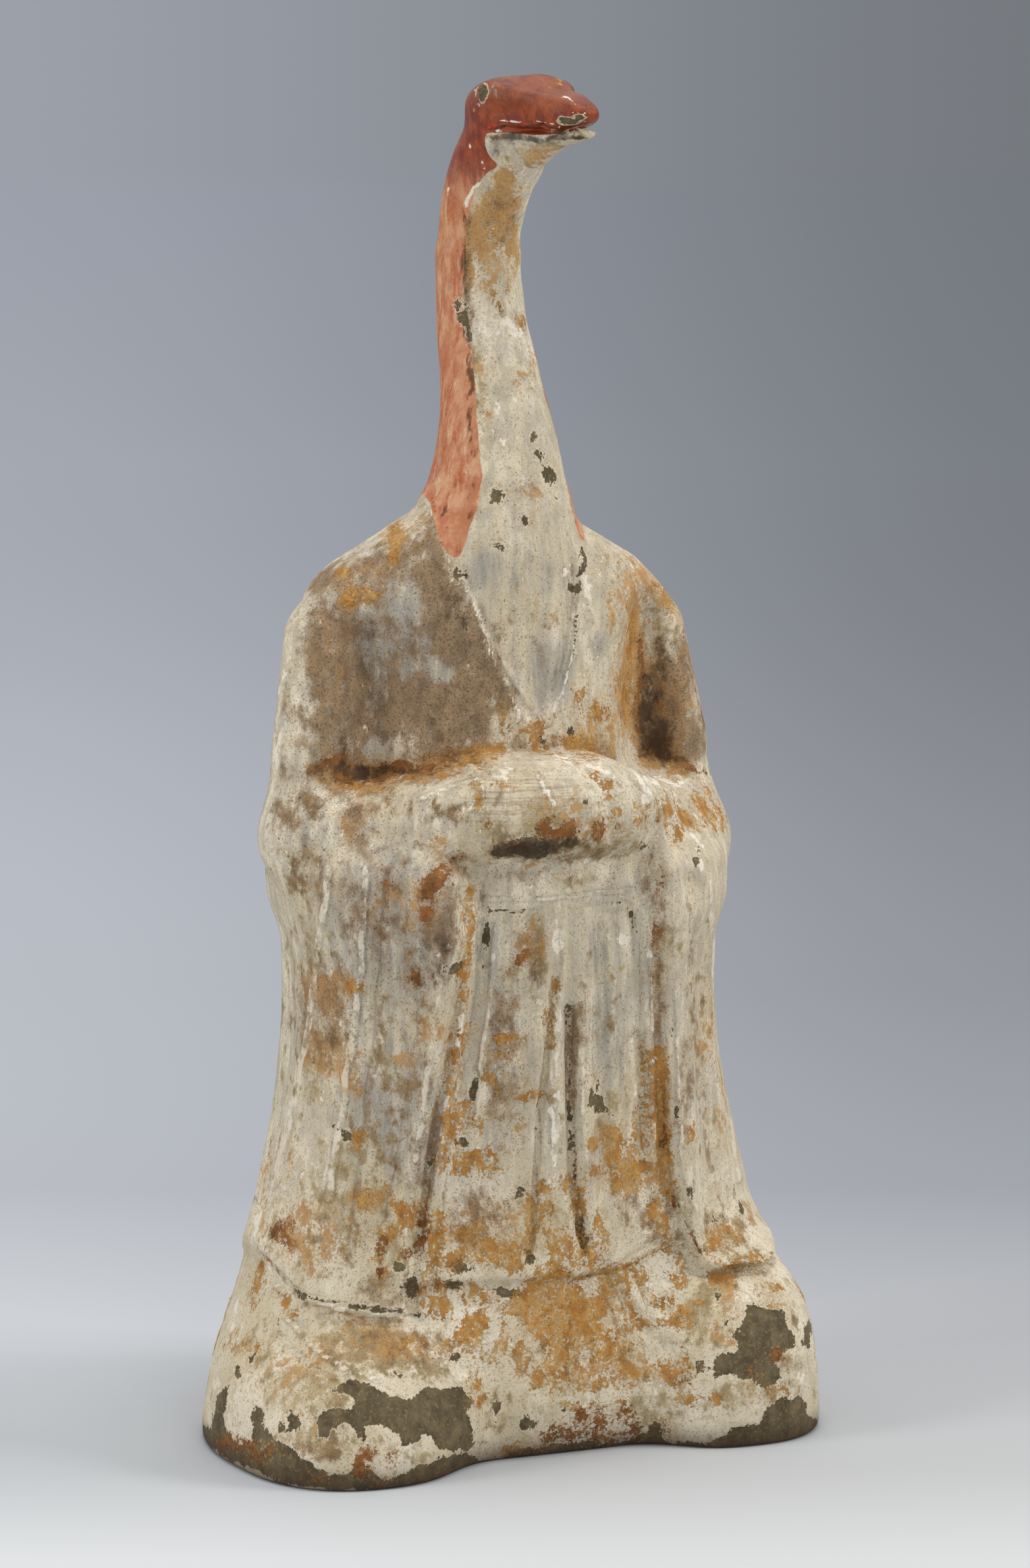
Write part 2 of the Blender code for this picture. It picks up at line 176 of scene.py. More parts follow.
def pillow(p: Array, centre: Point, radii: Point, power: float) -> Array:
    """Distance to an ellipsoid with squarer shoulders.

    Args:
        p: Points.
        centre: Its middle.
        radii: Its three half widths.
        power: 2 is a plain ellipsoid, and more is squarer.

    Returns:
        The distance of each point, negative inside.
    """
    q = np.abs(p - np.asarray(centre, float))
    scaled = ((q / np.asarray(radii, float)) ** power).sum(-1) ** (1 / power) + TINY
    return (scaled - 1) * np.linalg.norm(q, axis=-1) / scaled


def limb(p: Array, start: Point, end: Point, start_radius: float, end_radius: float) -> Array:
    """Distance to a round-ended cone.

    Args:
        p: Points.
        start: Middle of its first end.
        end: Middle of its other end.
        start_radius: Radius at the start.
        end_radius: Radius at the end.

    Returns:
        The distance of each point, negative inside.
    """
    start = np.asarray(start, float)
    axis = np.asarray(end, float) - start
    t = np.clip(((p - start) @ axis) / (axis @ axis), 0, 1)
    away = np.linalg.norm(p - (start + t[..., None] * axis), axis=-1)
    return away - (start_radius + (end_radius - start_radius) * t)


def line_gap(x: Array, y: Array, line: Line) -> Array:
    """Distance from a line of straight runs in a plane.

    Args:
        x: First coordinate of each place.
        y: Second coordinate of each place.
        line: The line's points.

    Returns:
        The distance of each place from the nearest run.
    """
    nearest = np.full(np.shape(x), np.inf)
    for (x0, y0), (x1, y1) in zip(line[:-1], line[1:]):
        along = np.array([x1 - x0, y1 - y0], float)
        t = np.clip(((x - x0) * along[0] + (y - y0) * along[1]) / (along @ along), 0, 1)
        nearest = np.minimum(nearest, np.hypot(x - x0 - t * along[0], y - y0 - t * along[1]))
    return nearest


def stroke(x: Array, z: Array, line: Line, width: float) -> Array:
    """A soft ridge along a line on the figure's front.

    Args:
        x: Place sideways.
        z: Height.
        line: The line's (x, z) points.
        width: Where the ridge has run out.

    Returns:
        1 on the line and 0 beyond its width.
    """
    return 1 - ease(line_gap(x, z, line), 0, width)


def lumps(p: Array, size: float, seed: int) -> Array:
    """Smooth random heights.

    Args:
        p: Points.
        size: About how far apart the lumps are.
        seed: Another seed gives other lumps.

    Returns:
        A height from -1 to 1 at each point.
    """
    cells = 64
    lattice = np.random.default_rng(seed).uniform(-1, 1, (cells, cells, cells))
    q = np.asarray(p, float) / size + cells * 4
    low = np.floor(q).astype(int)
    t = q - low
    t = t * t * (3 - 2 * t)
    total = np.zeros(q.shape[:-1])
    for corner in range(8):
        step = np.array((corner & 1, corner >> 1 & 1, corner >> 2))
        weight = np.where(step, t, 1 - t).prod(-1)
        i, j, k = np.moveaxis((low + step) % cells, -1, 0)
        total = total + weight * lattice[i, j, k]
    return total


@dataclass(frozen=True)
class Robe:
    """The robed body from foot to neck, the knees under it and the carving of its front.

    Each section gives height, middle sideways, half width, front, back and squareness. A sunk field
    gives where its first edge starts and ends to rise, how far that edge moves on with each part
    down, where its second edge lies, how far that one moves on, and its softness. A pleat or fold
    gives height, width and line.
    """

    sections: tuple[Point, ...] = (
        (-12, 0.0, 66.5, -27.5, 42.5, 2.5),
        (0, 0.0, 66.5, -28.0, 42.5, 2.5),
        (12, 0.0, 65.5, -30.5, 42.5, 2.5),
        (26, 0.0, 62.0, -29.0, 41.5, 2.5),
        (40, 0.0, 57.5, -27.0, 40.0, 2.4),
        (55, 0.7, 53.0, -27.0, 38.5, 2.4),
        (85, 0.2, 46.5, -27.5, 36.0, 2.4),
        (112, 0.0, 44.5, -28.0, 35.0, 2.3),
        (128, 0.0, 43.0, -27.5, 35.0, 2.3),
        (140, -0.5, 40.0, -17.0, 35.0, 2.3),
        (150, -0.8, 35.5, -11.5, 35.0, 2.3),
        (165, -1.0, 34.0, -10.0, 35.0, 2.3),
        (174, -1.3, 35.5, -9.5, 35.0, 2.3),
        (181, -1.5, 39.5, -9.5, 34.5, 2.3),
        (187, -1.5, 40.0, -9.0, 33.5, 2.2),
        (193, -1.5, 35.5, -8.5, 31.5, 2.1),
        (198, -2.1, 27.6, -8.5, 29.0, 2.0),
        (202, -2.3, 21.0, -8.5, 26.5, 2.0),
        (207, -0.5, 15.5, -8.0, 22.5, 2.0),
    )
    right_knee: Point = (-42.0, -8.0, 5.0)
    right_knee_radii: Point = (25.6, 32.0, 26.0)
    left_knee: Point = (44.6, -8.0, 9.0)
    left_knee_radii: Point = (23.2, 30.5, 33.0)
    knee_leans: Point = (11.0, -3.0)
    knee_powers: Point = (2.3, 2.5)
    panel_top: float = 121.5
    sunk: float = 1.5
    sunk_fields: tuple[Point, ...] = (
        (-18.0, -15.6, -0.11, -1.0, -0.07, 3),
        (7.0, 9.6, 0.02, 20.2, 0.065, 2),
    )
    pleats: tuple[tuple[float, float, Line], ...] = (
        (-1.3, 2.0, ((3.1, 99), (4.1, 60), (7.2, 46))),
        (-0.9, 2.0, ((-0.8, 104), (-4.8, 58), (-6, 46))),
        (0.7, 3.0, ((13, 112), (14.5, 75), (16, 50))),
    )
    hem: Curve = ((-34, -10, 8, 16, 25, 34), (40.5, 40, 39.2, 42, 45.5, 43))
    hem_height: float = 1.7
    hem_folds: tuple[tuple[float, float, Line], ...] = (
        (-0.8, 3.0, ((12, 40), (17, 31), (23, 26))),
        (0.8, 2.6, ((16, 40), (22, 31), (27, 25))),
    )
    right_lapel: Curve = ((162, 195), (0.6, 15.2))
    left_lapel: Curve = ((160, 166, 174, 180, 198), (0.5, 9.1, 12.0, 14.0, 20.0))
    lapel_height: float = 1.1

    def body(self, p: Array) -> Array:
        """Reads the robe without sleeves or knees.

        Args:
            p: Points.

        Returns:
            The distance of each point.
        """
        x, y, z = p[..., 0], p[..., 1], p[..., 2]
        heights, *columns = np.array(self.sections, float).T
        middle, half, front, back, square = (profile(z, heights, column) for column in columns)
        across = np.abs(x - middle) / half
        deep = np.abs(y - (front + back) / 2) / ((back - front) / 2)
        scaled = (across**square + deep**square) ** (1 / square) + TINY
        reach = np.hypot(x - middle, y - (front + back) / 2) / scaled
        return soft_overlap(0.9 * (scaled - 1) * reach, z - self.sections[-1][0], 4)

    @staticmethod
    def tilted(p: Array, about: Point, degrees: float) -> Array:
        """Points seen from a form that leans about the Y axis.

        Args:
            p: Points.
            about: The form's middle.
            degrees: Its lean.

        Returns:
            The points in the form's own axes.
        """
        angle = math.radians(degrees)
        q = p - np.asarray(about, float)
        x = q[..., 0] * math.cos(angle) - q[..., 2] * math.sin(angle)
        z = q[..., 0] * math.sin(angle) + q[..., 2] * math.cos(angle)
        return np.stack([x, q[..., 1], z], -1)

    def knees(self, p: Array) -> Array:
        """Reads the two knees, the figure's right one wider and lower.

        Args:
            p: Points.

        Returns:
            The distance of each point.
        """
        here = (0.0, 0.0, 0.0)
        right = self.tilted(p, self.right_knee, self.knee_leans[0])
        left = self.tilted(p, self.left_knee, self.knee_leans[1])
        right = pillow(right, here, self.right_knee_radii, self.knee_powers[0])
        return np.minimum(right, pillow(left, here, self.left_knee_radii, self.knee_powers[1]))

    def panel_relief(self, x: Array, z: Array) -> Array:
        """Carves the front between the sleeves: two sunk fields, pleats and the hem.

        Args:
            x: Places across.
            z: Heights.

        Returns:
            The height of the carving at each place.
        """
        drop = self.panel_top - z
        fields = np.zeros(x.shape)
        for start, end, drift, other, other_drift, soft in self.sunk_fields:
            within = ease(x, start + drift * drop, end + drift * drop)
            fields = fields + within * ease(other + other_drift * drop - x, 0, soft)
        h = -self.sunk * fields * ease(drop, 0, 2.5) * ease(z, 42, 70)
        for height, width, line in self.pleats:
            h = h + height * stroke(x, z, line, width)
        between = ease(x, -36, -31) * ease(38 - x, 0, 5)
        above = ease(z - profile(x, *self.hem), -0.9, 0.9)
        h = h + self.hem_height * above * ease(127 - z, 0, 10) * between
        for height, width, line in self.hem_folds:
            h = h + height * stroke(x, z, line, width)
        return h

    def collar_relief(self, x: Array, z: Array) -> Array:
        """Carves the crossed lapels around a bare V from the neck to the sleeves.

        Args:
            x: Places across.
            z: Heights.

        Returns:
            The height of the carving at each place.
        """
        right = ease(-x - profile(z, *self.right_lapel), -1.1, 1.1)
        left = ease(x - profile(z, *self.left_lapel), -1.1, 1.1)
        outside = np.maximum(np.maximum(right, left), ease(161 - z, -1, 1))
        return self.lapel_height * outside * ease(204 - z, 0, 6) * ease(z, 148, 156)


@dataclass(frozen=True)
class Sleeves:
    """The hanging sleeves: inner edges, hems and soft upright folds.

    An edge gives height and distance from the middle, and a hem that distance and height.
    """

    right_edge: Curve = ((30, 42, 71, 95, 117, 130), (33.5, 32.5, 28.5, 24.6, 21.2, 21.5))
    left_edge: Curve = ((36, 42, 59, 72, 126), (36.0, 34.0, 28.6, 26.9, 23.8))
    right_hem: Curve = ((30, 42, 52, 57, 61), (33.2, 34.4, 36.2, 41.5, 56.0))
    left_hem: Curve = ((30, 40, 50, 62), (41.0, 38.2, 38.2, 41.0))
    thick: Curve = ((40, 95, 110, 122, 132), (2.6, 3.0, 4.0, 6.8, 7.0))
    softness: Curve = ((90, 125), (1.4, 4.0))
    rear: Curve = ((30, 60, 100, 130), (14, 18, 20, 20))
    hem_soft: float = 0.9
    rear_soft: float = 5
    top: float = 146
    side_height: float = 0.55
    side_folds: Point = (9, 17)
    back_height: float = 0.8
    back_folds: float = 6

    def thickness(self, p: Array) -> Array:
        """Reads how far the cloth stands out from the robe.

        Args:
            p: Points.

        Returns:
            The cloth's thickness at each point.
        """
        x, y, z = p[..., 0], p[..., 1], p[..., 2]
        soft = profile(z, *self.softness)
        both = []
        for away, edge, hem in ((-x, self.right_edge, self.right_hem), (x, self.left_edge, self.left_hem)):
            outside = ease(away - profile(z, *edge), -soft, soft)
            both.append(outside * ease(z - profile(away, *hem), -self.hem_soft, self.hem_soft))
        rear = ease(profile(z, *self.rear) - y, -self.rear_soft, self.rear_soft)
        return (both[0] + both[1]) * rear * profile(z, *self.thick) * ease(self.top - z, 0, 12)

    def folds(self, p: Array) -> Array:
        """Reads the sleeves' upright folds and, plainer, the back's.

        Args:
            p: Points.

        Returns:
            The height of the folds at each point.
        """
        x, y, z = p[..., 0], p[..., 1], p[..., 2]
        around = np.degrees(np.arctan2(x, 4 - y))
        fall = ease(z, 34, 60) * ease(128 - z, 0, 26)
        waves = np.sin(np.radians(around * self.side_folds[0] + 20 * np.sin(z / 23.0)))
        waves = waves + 0.5 * np.sin(np.radians(around * self.side_folds[1] + z * 1.1))
        side = ease(np.abs(around), 33, 42) * ease(118 - np.abs(around), 0, 20)
        back = ease(np.abs(around), 120, 140)
        behind = np.sin(np.radians(around * self.back_folds)) * ease(z, 4, 30) * ease(175 - z, 0, 50)
        return self.side_height * waves * side * fall + self.back_height * behind * back


@dataclass(frozen=True)
class Arms:
    """Arms and joined hands in one roll of sleeve, the figure's right side first.

    Each fold of the roll gives its upper end, lower end and height. A groove gives its two ends,
    its radii there, its depth and how far it spreads. The hands are a middle and three radii.
    """

    shoulders: tuple[Point, Point] = ((-39.0, 8.5, 178.0), (34.8, 8.5, 177.0))
    elbows: tuple[Point, Point] = ((-44.2, 4.0, 135.0), (42.4, 4.0, 131.0))
    roll_folds: tuple[tuple[Point, Point, float], ...] = (
        ((-24, 146), (-27, 140), 0.8),
        ((-14, 150), (-11, 138), 0.7),
        ((3, 152), (8, 137), 0.8),
        ((12, 151), (18, 137), 0.8),
        ((20, 149), (26, 136), 0.9),
        ((28, 146), (33, 134), 0.7),
    )
    fold_width: float = 2.6
    hands: tuple[Point, Point] = ((0.0, -23.5, 142.0), (19.0, 11.5, 10.8))
    wrist: Point = (14.0, -22.5, 141.5)
    upper_radii: Point = (9.2, 10.6)
    fore_radius: float = 10.4
    rear_top: Point = (32.0, 17.0, 175.0)
    rear_end: Point = (37.0, 15.0, 126.0)
    rear_radii: Point = (11.0, 13.0)
    grooves: tuple[tuple[Point, Point, float, float, float, float], ...] = (
        ((-32.5, -3, 180), (-31.5, -7, 153), 0.5, 1.0, 4.0, 9),
        ((-39.5, -3, 180), (-38.0, -7, 154), 0.2, 0.3, 1.6, 4),
        ((33.0, -2, 180), (32.0, -6, 153), 1.5, 2.5, 7.5, 11),
    )

    def masses(self, p: Array) -> Array:
        """Reads the arms, forearms and hands.

        Args:
            p: Points.

        Returns:
            The distance of each point.
        """
        joined = ellipsoid(p, *self.hands)
        for shoulder, elbow in zip(self.shoulders, self.elbows):
            side = math.copysign(1, elbow[0])
            bend = (elbow[0], elbow[1] - 1, elbow[2])
            wrist, top, end = (
                (side * place[0], *place[1:]) for place in (self.wrist, self.rear_top, self.rear_end)
            )
            upper = limb(p, shoulder, elbow, *self.upper_radii)
            fore = limb(p, bend, wrist, self.fore_radius, self.fore_radius)
            behind = limb(p, top, end, *self.rear_radii)
            joined = soft_union(joined, soft_union(soft_union(upper, fore, 6), behind, 5), 5)
        return joined

    def hollows(self, p: Array) -> Array:
        """Reads the grooves between upper arms and chest and the crease beside one.

        Args:
            p: Points.

        Returns:
            The depth of the grooves at each point.
        """
        depth = np.zeros(p.shape[:-1])
        for start, end, start_radius, end_radius, deep, spread in self.grooves:
            line = limb(p, start, end, start_radius, end_radius)
            depth = depth + deep * np.exp(-np.clip(line, 0, None) ** 2 / spread)
        return depth

    def folds(self, x: Array, z: Array) -> Array:
        """Reads the short slanted folds across the sleeve ends.

        Args:
            x: Places across.
            z: Heights.

        Returns:
            The height of the folds at each place.
        """
        h = np.zeros(x.shape)
        for start, end, height in self.roll_folds:
            h = h + height * stroke(x, z, (start, end), self.fold_width)
        return h


@dataclass(frozen=True)
class Neck:
    """The long neck and its bend forward into the back of the head.

    Each section gives height, middle sideways, middle front to back and radius.
    """

    sections: tuple[Point, ...] = (
        (186, -0.3, 6.0, 17.3),
        (197, -0.3, 6.0, 17.2),
        (205, -0.3, 6.0, 16.0),
        (212, 0.0, 6.2, 15.0),
        (222, 0.2, 7.2, 12.9),
        (235, 0.1, 11.0, 11.0),
        (250, -0.2, 16.0, 9.8),
        (262, -0.6, 16.4, 8.9),
        (270, -0.6, 16.4, 6.5),
    )
    bend_height: float = 262.0
    bend_ahead: float = 12.0
    bend_end: float = math.radians(58)
    bend_out: Curve = ((0, 0.5, 1), (30.9, 30.3, 30.6))
    bend_thick: Curve = ((0, 0.15, 0.45, 0.66), (8.6, 9.3, 10.2, 7.6))
    bend_wide: Curve = ((0, 0.15, 0.45, 0.66), (8.6, 9.2, 9.3, 8.8))

    def straight(self, p: Array) -> Array:
        """Reads the neck below the bend.

        Args:
            p: Points.

        Returns:
            The distance of each point.
        """
        x, y, z = p[..., 0], p[..., 1], p[..., 2]
        heights, *columns = np.array(self.sections, float).T
        middle_x, middle_y, radius = (profile(z, heights, column) for column in columns)
        away = np.hypot(x - middle_x, y - middle_y)
        return soft_overlap(0.97 * (away - radius), z - self.sections[-1][0], 2)

    def bend(self, q: Array) -> Array:
        """Distance to the bend.

        Args:
            q: Points from the bend's middle, as left, ahead and up.

        Returns:
            The distance of each point.
        """
        left, ahead, up = q[..., 0], q[..., 1], q[..., 2]
        angle = np.clip(np.arctan2(up, -ahead), 0, math.pi / 2)
        angle = np.where((ahead > 0) & (up < 0), 0, angle)
        angle = np.minimum(angle, self.bend_end)
        quarter = angle / (math.pi / 2)
        out = profile(quarter, *self.bend_out)
        thick = profile(quarter, *self.bend_thick)
        wide = profile(quarter, *self.bend_wide)
        off_ahead = ahead + np.cos(angle) * out
        off_up = up - np.sin(angle) * out
        across = off_up * np.sin(angle) - off_ahead * np.cos(angle)
        along = off_ahead * np.sin(angle) + off_up * np.cos(angle)
        scaled = np.sqrt((across / thick) ** 2 + (left / wide) ** 2 + (along / wide) ** 2) + TINY
        return (scaled - 1) * np.sqrt(across**2 + left**2 + along**2) / scaled


@dataclass(frozen=True)
class Head:
    """The flat snake's head, turned a little to the figure's left.

    Places on it are in its own axes: to its left, ahead and up. A lump is a middle, three radii and
    perhaps a squareness. A brow gives its side, where it ends ahead and how far it is lowered, with
    the lid below it; the starts of both are those on the left.
    """

    at: Point = (3.6, -2.3, 292.5)
    turn: float = math.radians(12)
    lean: float = math.radians(4.5)
    mouth_drop: float = 4.0
    mouth_line: Curve = ((0, 11, 16.5, 25), (4.0, 4.3, 5.1, 3.5))
    mouth_gape: Curve = ((0, 16, 27), (1.1, 1.0, 1.5))
    mouth_depth: Curve = ((-4, 2, 15, 19), (0.0, 0.8, 0.8, 1.6))
    skull: tuple[Point, Point, float] = ((0, -4.5, -0.1), (9.6, 12.0, 7.1), 2.4)
    muzzle: tuple[Point, Point] = ((0, 10.6, -1.6), (6.6, 14.1, 4.8))
    crown: tuple[Point, Point] = ((3.4, 0.5, 2.7), (5.4, 6.4, 4.3))
    jaw: tuple[Point, Point, float] = ((0, 8.3, -5.7), (5.9, 14.6, 2.1), 2.3)
    throat: tuple[Point, Point, float, float] = ((0, -7, -9.2), (0, 16.5, -5.2), 7.2, 1.6)
    brows: tuple[tuple[int, Point, float], ...] = ((-1, (-2.6, 20, 0.3), 0), (1, (3.0, 16, 0.6), 1.3))
    brow_start: Point = (7.6, 1.5, 4.0)
    brow_radii: Point = (2.0, 1.3)
    lid: tuple[Point, Point] = ((9.2, 0.2, 3.6), (2.3, 3.9, 3.1))

    @property
    def forward(self) -> Array:
        """Level direction that the snout points in."""
        return np.array((math.sin(self.turn), -math.cos(self.turn), 0.0))

    @property
    def left(self) -> Array:
        """Level direction to the head's left."""
        return np.array((math.cos(self.turn), math.sin(self.turn), 0.0))

    def axes(self) -> Array:
        """Finds how the leaning head is turned.

        Returns:
            Its left, ahead and up directions, one a row.
        """
        level_up = np.array((0.0, 0.0, 1.0))
        left = self.left * math.cos(self.lean) + level_up * math.sin(self.lean)
        up = level_up * math.cos(self.lean) - self.left * math.sin(self.lean)
        return np.array([left, self.forward, up])

    def own(self, p: Array) -> Array:
        """Points in the head's own axes."""
        return (p - np.asarray(self.at)) @ self.axes().T

    def distance(self, p: Array) -> Array:
        """Reads the head with its lobes, brows, jaw and mouth.

        Args:
            p: Points.

        Returns:
            The distance of each point.
        """
        q = self.own(p)
        d = soft_union(pillow(q, *self.skull), ellipsoid(q, *self.muzzle), 4)
        d = soft_union(d, ellipsoid(q, *self.crown), 1.4)
        for side, brow_end, low in self.brows:
            brow_start, lid = (
                (side * place[0], place[1], place[2] - low) for place in (self.brow_start, self.lid[0])
            )
            d = soft_union(d, limb(q, brow_start, brow_end, *self.brow_radii), 2.5)
            d = soft_union(d, ellipsoid(q, lid, self.lid[1]), 1.2)
        d = soft_union(soft_union(d, limb(q, *self.throat), 3.5), pillow(q, *self.jaw), 1.6)
        level = np.abs(q[..., 2] + profile(q[..., 1], *self.mouth_line))
        gape = profile(q[..., 1], *self.mouth_gape)
        return d + profile(q[..., 1], *self.mouth_depth) * (1 - ease(level, 0.1 * gape, gape))


@dataclass(frozen=True)
class Form:
    """The whole figure as one signed distance, with the widths of the fillets between its masses."""

    robe: Robe = Robe()
    sleeves: Sleeves = Sleeves()
    arms: Arms = Arms()
    neck: Neck = Neck()
    head: Head = Head()
    knee_fillet: float = 10
    arm_fillet: float = 4.5
    neck_fillet: float = 6
    bend_fillet: float = 2.5
    head_fillet: float = 3.0
    floor_round: float = 1.5

    @property
    def bend_at(self) -> Array:
        """Point that the neck bends about."""
        over = np.array((self.head.at[0], self.head.at[1], self.neck.bend_height))
        return over + self.neck.bend_ahead * self.head.forward

    def relief(self, p: Array) -> Array:
        """Reads the shallow carving over the masses.

        Args:
            p: Points.

        Returns:
            The height of the carving at each point.
        """
        x, y, z = p[..., 0], p[..., 1], p[..., 2]
        front = ease(-y, -12, -2)
        h = (self.robe.panel_relief(x, z) + self.robe.collar_relief(x, z)) * front
        h = h + self.arms.folds(x, z) * ease(-y, 8, 16)
        return h + self.sleeves.folds(p) - self.arms.hollows(p)

    def bend_axes(self) -> Array:
        """The bend's left, ahead and up directions, one a row."""
        return np.array([self.head.left, self.head.forward, (0.0, 0.0, 1.0)])

    def distance(self, p: Array) -> Array:
        """Distance to the figure, with its carving.

        Args:
            p: Points, in parts.

        Returns:
            The distance of each point, negative inside.
        """
        d = soft_union(self.robe.body(p), self.robe.knees(p), self.knee_fillet)
        d = d - self.sleeves.thickness(p)
        d = soft_union(d, self.arms.masses(p), self.arm_fillet)
        d = soft_union(d, self.neck.straight(p), self.neck_fillet)
        d = d - self.relief(p)
        bend = self.neck.bend((p - self.bend_at) @ self.bend_axes().T)
        d = soft_union(d, bend, self.bend_fillet)
        d = soft_union(d, self.head.distance(p), self.head_fillet)
        return soft_overlap(d, -p[..., 2], self.floor_round)


@dataclass
class Skin:
    """Closed mesh over the form: rings of points from the foot up the neck to the snout.

    The core curves give, at each height, where the rays of a ring start. A share above 0 crowds
    the points to the front, and some rays run down the sleeves' edges.
    """

    around: int = 256
    body_rings: int = 296
    bend_rings: int = 44
    head_rings: int = 22
    front_share: float = 0.45
    edge_rays: Point = (-27.0, 26.0)
    edge_pull: float = math.radians(26)
    edge_ends: Point = (132, 160)
    widest_trial: float = 1.2
    trials: int = 60
    front_depth: float = 31.0
    reach: float = 90.0
    neck_reach: float = 26.0
    neck_start: float = 207.0
    foot_heights: Point = (0.0, 0.25, 0.7, 1.4)
    core_deep: Curve = ((0, 60, 120, 150, 175, 200, 235, 262), (6, 6, 8, 17, 17, 8, 11, 16.4))
    core_across: Curve = ((0, 235, 262), (0, 0, -0.6))
    core_wide: Curve = ((0, 120, 145, 165, 185, 200, 215), (38, 38, 28, 26, 22, 8, 0))

    def rings(self, form: Form) -> list[Array]:
        """Sets out the rings.

        Args:
            form: The figure's form.

        Returns:
            Centre, inner half width, side, front and ahead direction of each ring.
        """
        found = []
        start_height, bend_height = 2.4, form.neck.bend_height
        rise = np.linspace(start_height, bend_height, self.body_rings - len(self.foot_heights))
        for z in self.foot_heights + tuple(rise):
            centre = np.array((profile(z, *self.core_across), profile(z, *self.core_deep), z), float)
            found.append((centre, profile(z, *self.core_wide), (1, 0, 0), (0, -1, 0), (0, 0, 0)))
        left, forward, up = form.bend_axes()
        start = found[-1][0] - form.bend_at
        mouth = np.array((0, 0, form.head.at[2] - form.head.mouth_drop - bend_height))
        for i in range(1, self.bend_rings + 1):
            turn = math.pi / 2 * i / self.bend_rings
            arm = start * math.cos(turn) + mouth * math.sin(turn)
            out = arm / np.linalg.norm(arm)
            turned = ease(i / self.bend_rings, 0, 1)
            side = np.array((1.0, 0, 0)) * (1 - turned) + left * turned
            side = side - out * (side @ out)
            found.append((form.bend_at + arm, 0, side / np.linalg.norm(side), -out, (0, 0, 0)))
        for i in range(1, self.head_rings + 1):
            turn = math.pi / 2 * i / (self.head_rings + 0.5)
            flat, ahead = math.cos(turn), math.sin(turn)
            found.append((form.bend_at + mouth, 0, left * flat, -up * flat, forward * ahead))
        return [np.array(part, float) for part in zip(*found)]

    @staticmethod
    def leave(form: Form, start: Array, ray: Array, reach: Array) -> Array:
        """Finds where rays leave the form, stepping inwards from their ends and then halving.

        Args:
            form: The figure's form.
            start: Where each ray starts, inside.
            ray: Its direction.
            reach: How far out it is sure to be outside.

        Returns:
            The point where each ray leaves.
        """
        outer = reach.copy()
        inner = reach.copy()
        live = np.arange(len(reach))
        while len(live):
            gap = form.distance(start[live] + ray[live] * inner[live, None])
            outside = gap > 0
            live = live[outside]
            outer[live] = inner[live]
            inner[live] -= np.clip(0.6 * gap[outside], 0.12, 12)
            live = live[inner[live] > 0]
        for _ in range(HALVINGS):
            middle = (inner + outer) / 2
            inside = form.distance(start + ray * middle[:, None]) < 0
            inner = np.where(inside, middle, inner)
            outer = np.where(inside, outer, middle)
        return start + ray * np.maximum(outer, 0.02)[:, None]

    def ray_angles(self, sleeves: Sleeves, centre: Array, wide: float) -> Array:
        """Angles of a ring's rays.

        Args:
            sleeves: The sleeves, whose edges some rays keep to.
            centre: The ring's centre.
            wide: Half width of the core there.

        Returns:
            An angle for each ray, from -pi behind through 0 in front.
        """
        angle = np.arange(self.around) / self.around * 2 * math.pi - math.pi
        angle = angle - self.front_share * np.sin(angle)
        trial = np.linspace(0, self.widest_trial, self.trials)
        meets = wide * np.sin(trial)
        meets = meets + (centre[1] + self.front_depth) * (1 - wide / self.reach) * np.tan(trial)
        bends = np.zeros(self.around)
        edges = (sleeves.right_edge, sleeves.left_edge)
        for side, (places, reaches), ray in zip((-1, 1), edges, self.edge_rays):
            edge = side * np.interp(profile(centre[2], places, reaches), meets, trial)
            kept = math.radians(ray)
            near = 1 - ease(np.abs(angle - kept), 0, self.edge_pull)
            bends = bends + (edge - kept) * near * (1 - ease(centre[2], *self.edge_ends))
        return angle + bends

    def mesh(self, form: Form) -> tuple[Array, list[tuple[int, ...]]]:
        """Skins the form.

        Args:
            form: The figure's form.

        Returns:
            The points and the faces.
        """
        centres, wides, sides, fronts, aheads = self.rings(form)
        angles = [self.ray_angles(form.sleeves, centre, wide) for centre, wide in zip(centres, wides)]
        angles = np.stack(angles)[..., None]
        wides = wides[:, None, None]
        start = centres[:, None] + sides[:, None] * wides * np.sin(angles)
        rays = sides[:, None] * np.sin(angles) * (1 - wides / self.reach)
        rays = rays + fronts[:, None] * np.cos(angles) + aheads[:, None]
        rays = rays / np.linalg.norm(rays, axis=-1, keepdims=True)
        reach = np.where(centres[:, 2] < self.neck_start, self.reach, self.neck_reach)
        reach = np.repeat(reach, self.around)
        points = self.leave(form, start.reshape(-1, 3), rays.reshape(-1, 3), reach)
        snout = self.leave(form, centres[-1:], form.head.forward[None], reach[-1:])
        count = len(centres)
        index = np.arange(count * self.around).reshape(count, self.around)
        here, above = index[:-1], index[1:]
        quads = np.stack([here, np.roll(here, -1, 1), np.roll(above, -1, 1), above], -1)
        faces = [tuple(quad) for quad in quads.reshape(-1, 4).tolist()]
        tip = count * self.around
        faces.append(tuple(index[0, ::-1].tolist()))
        faces.extend((tip, a, b) for a, b in zip(index[-1].tolist(), np.roll(index[-1], -1).tolist()))
        return np.concatenate([points, snout]), faces


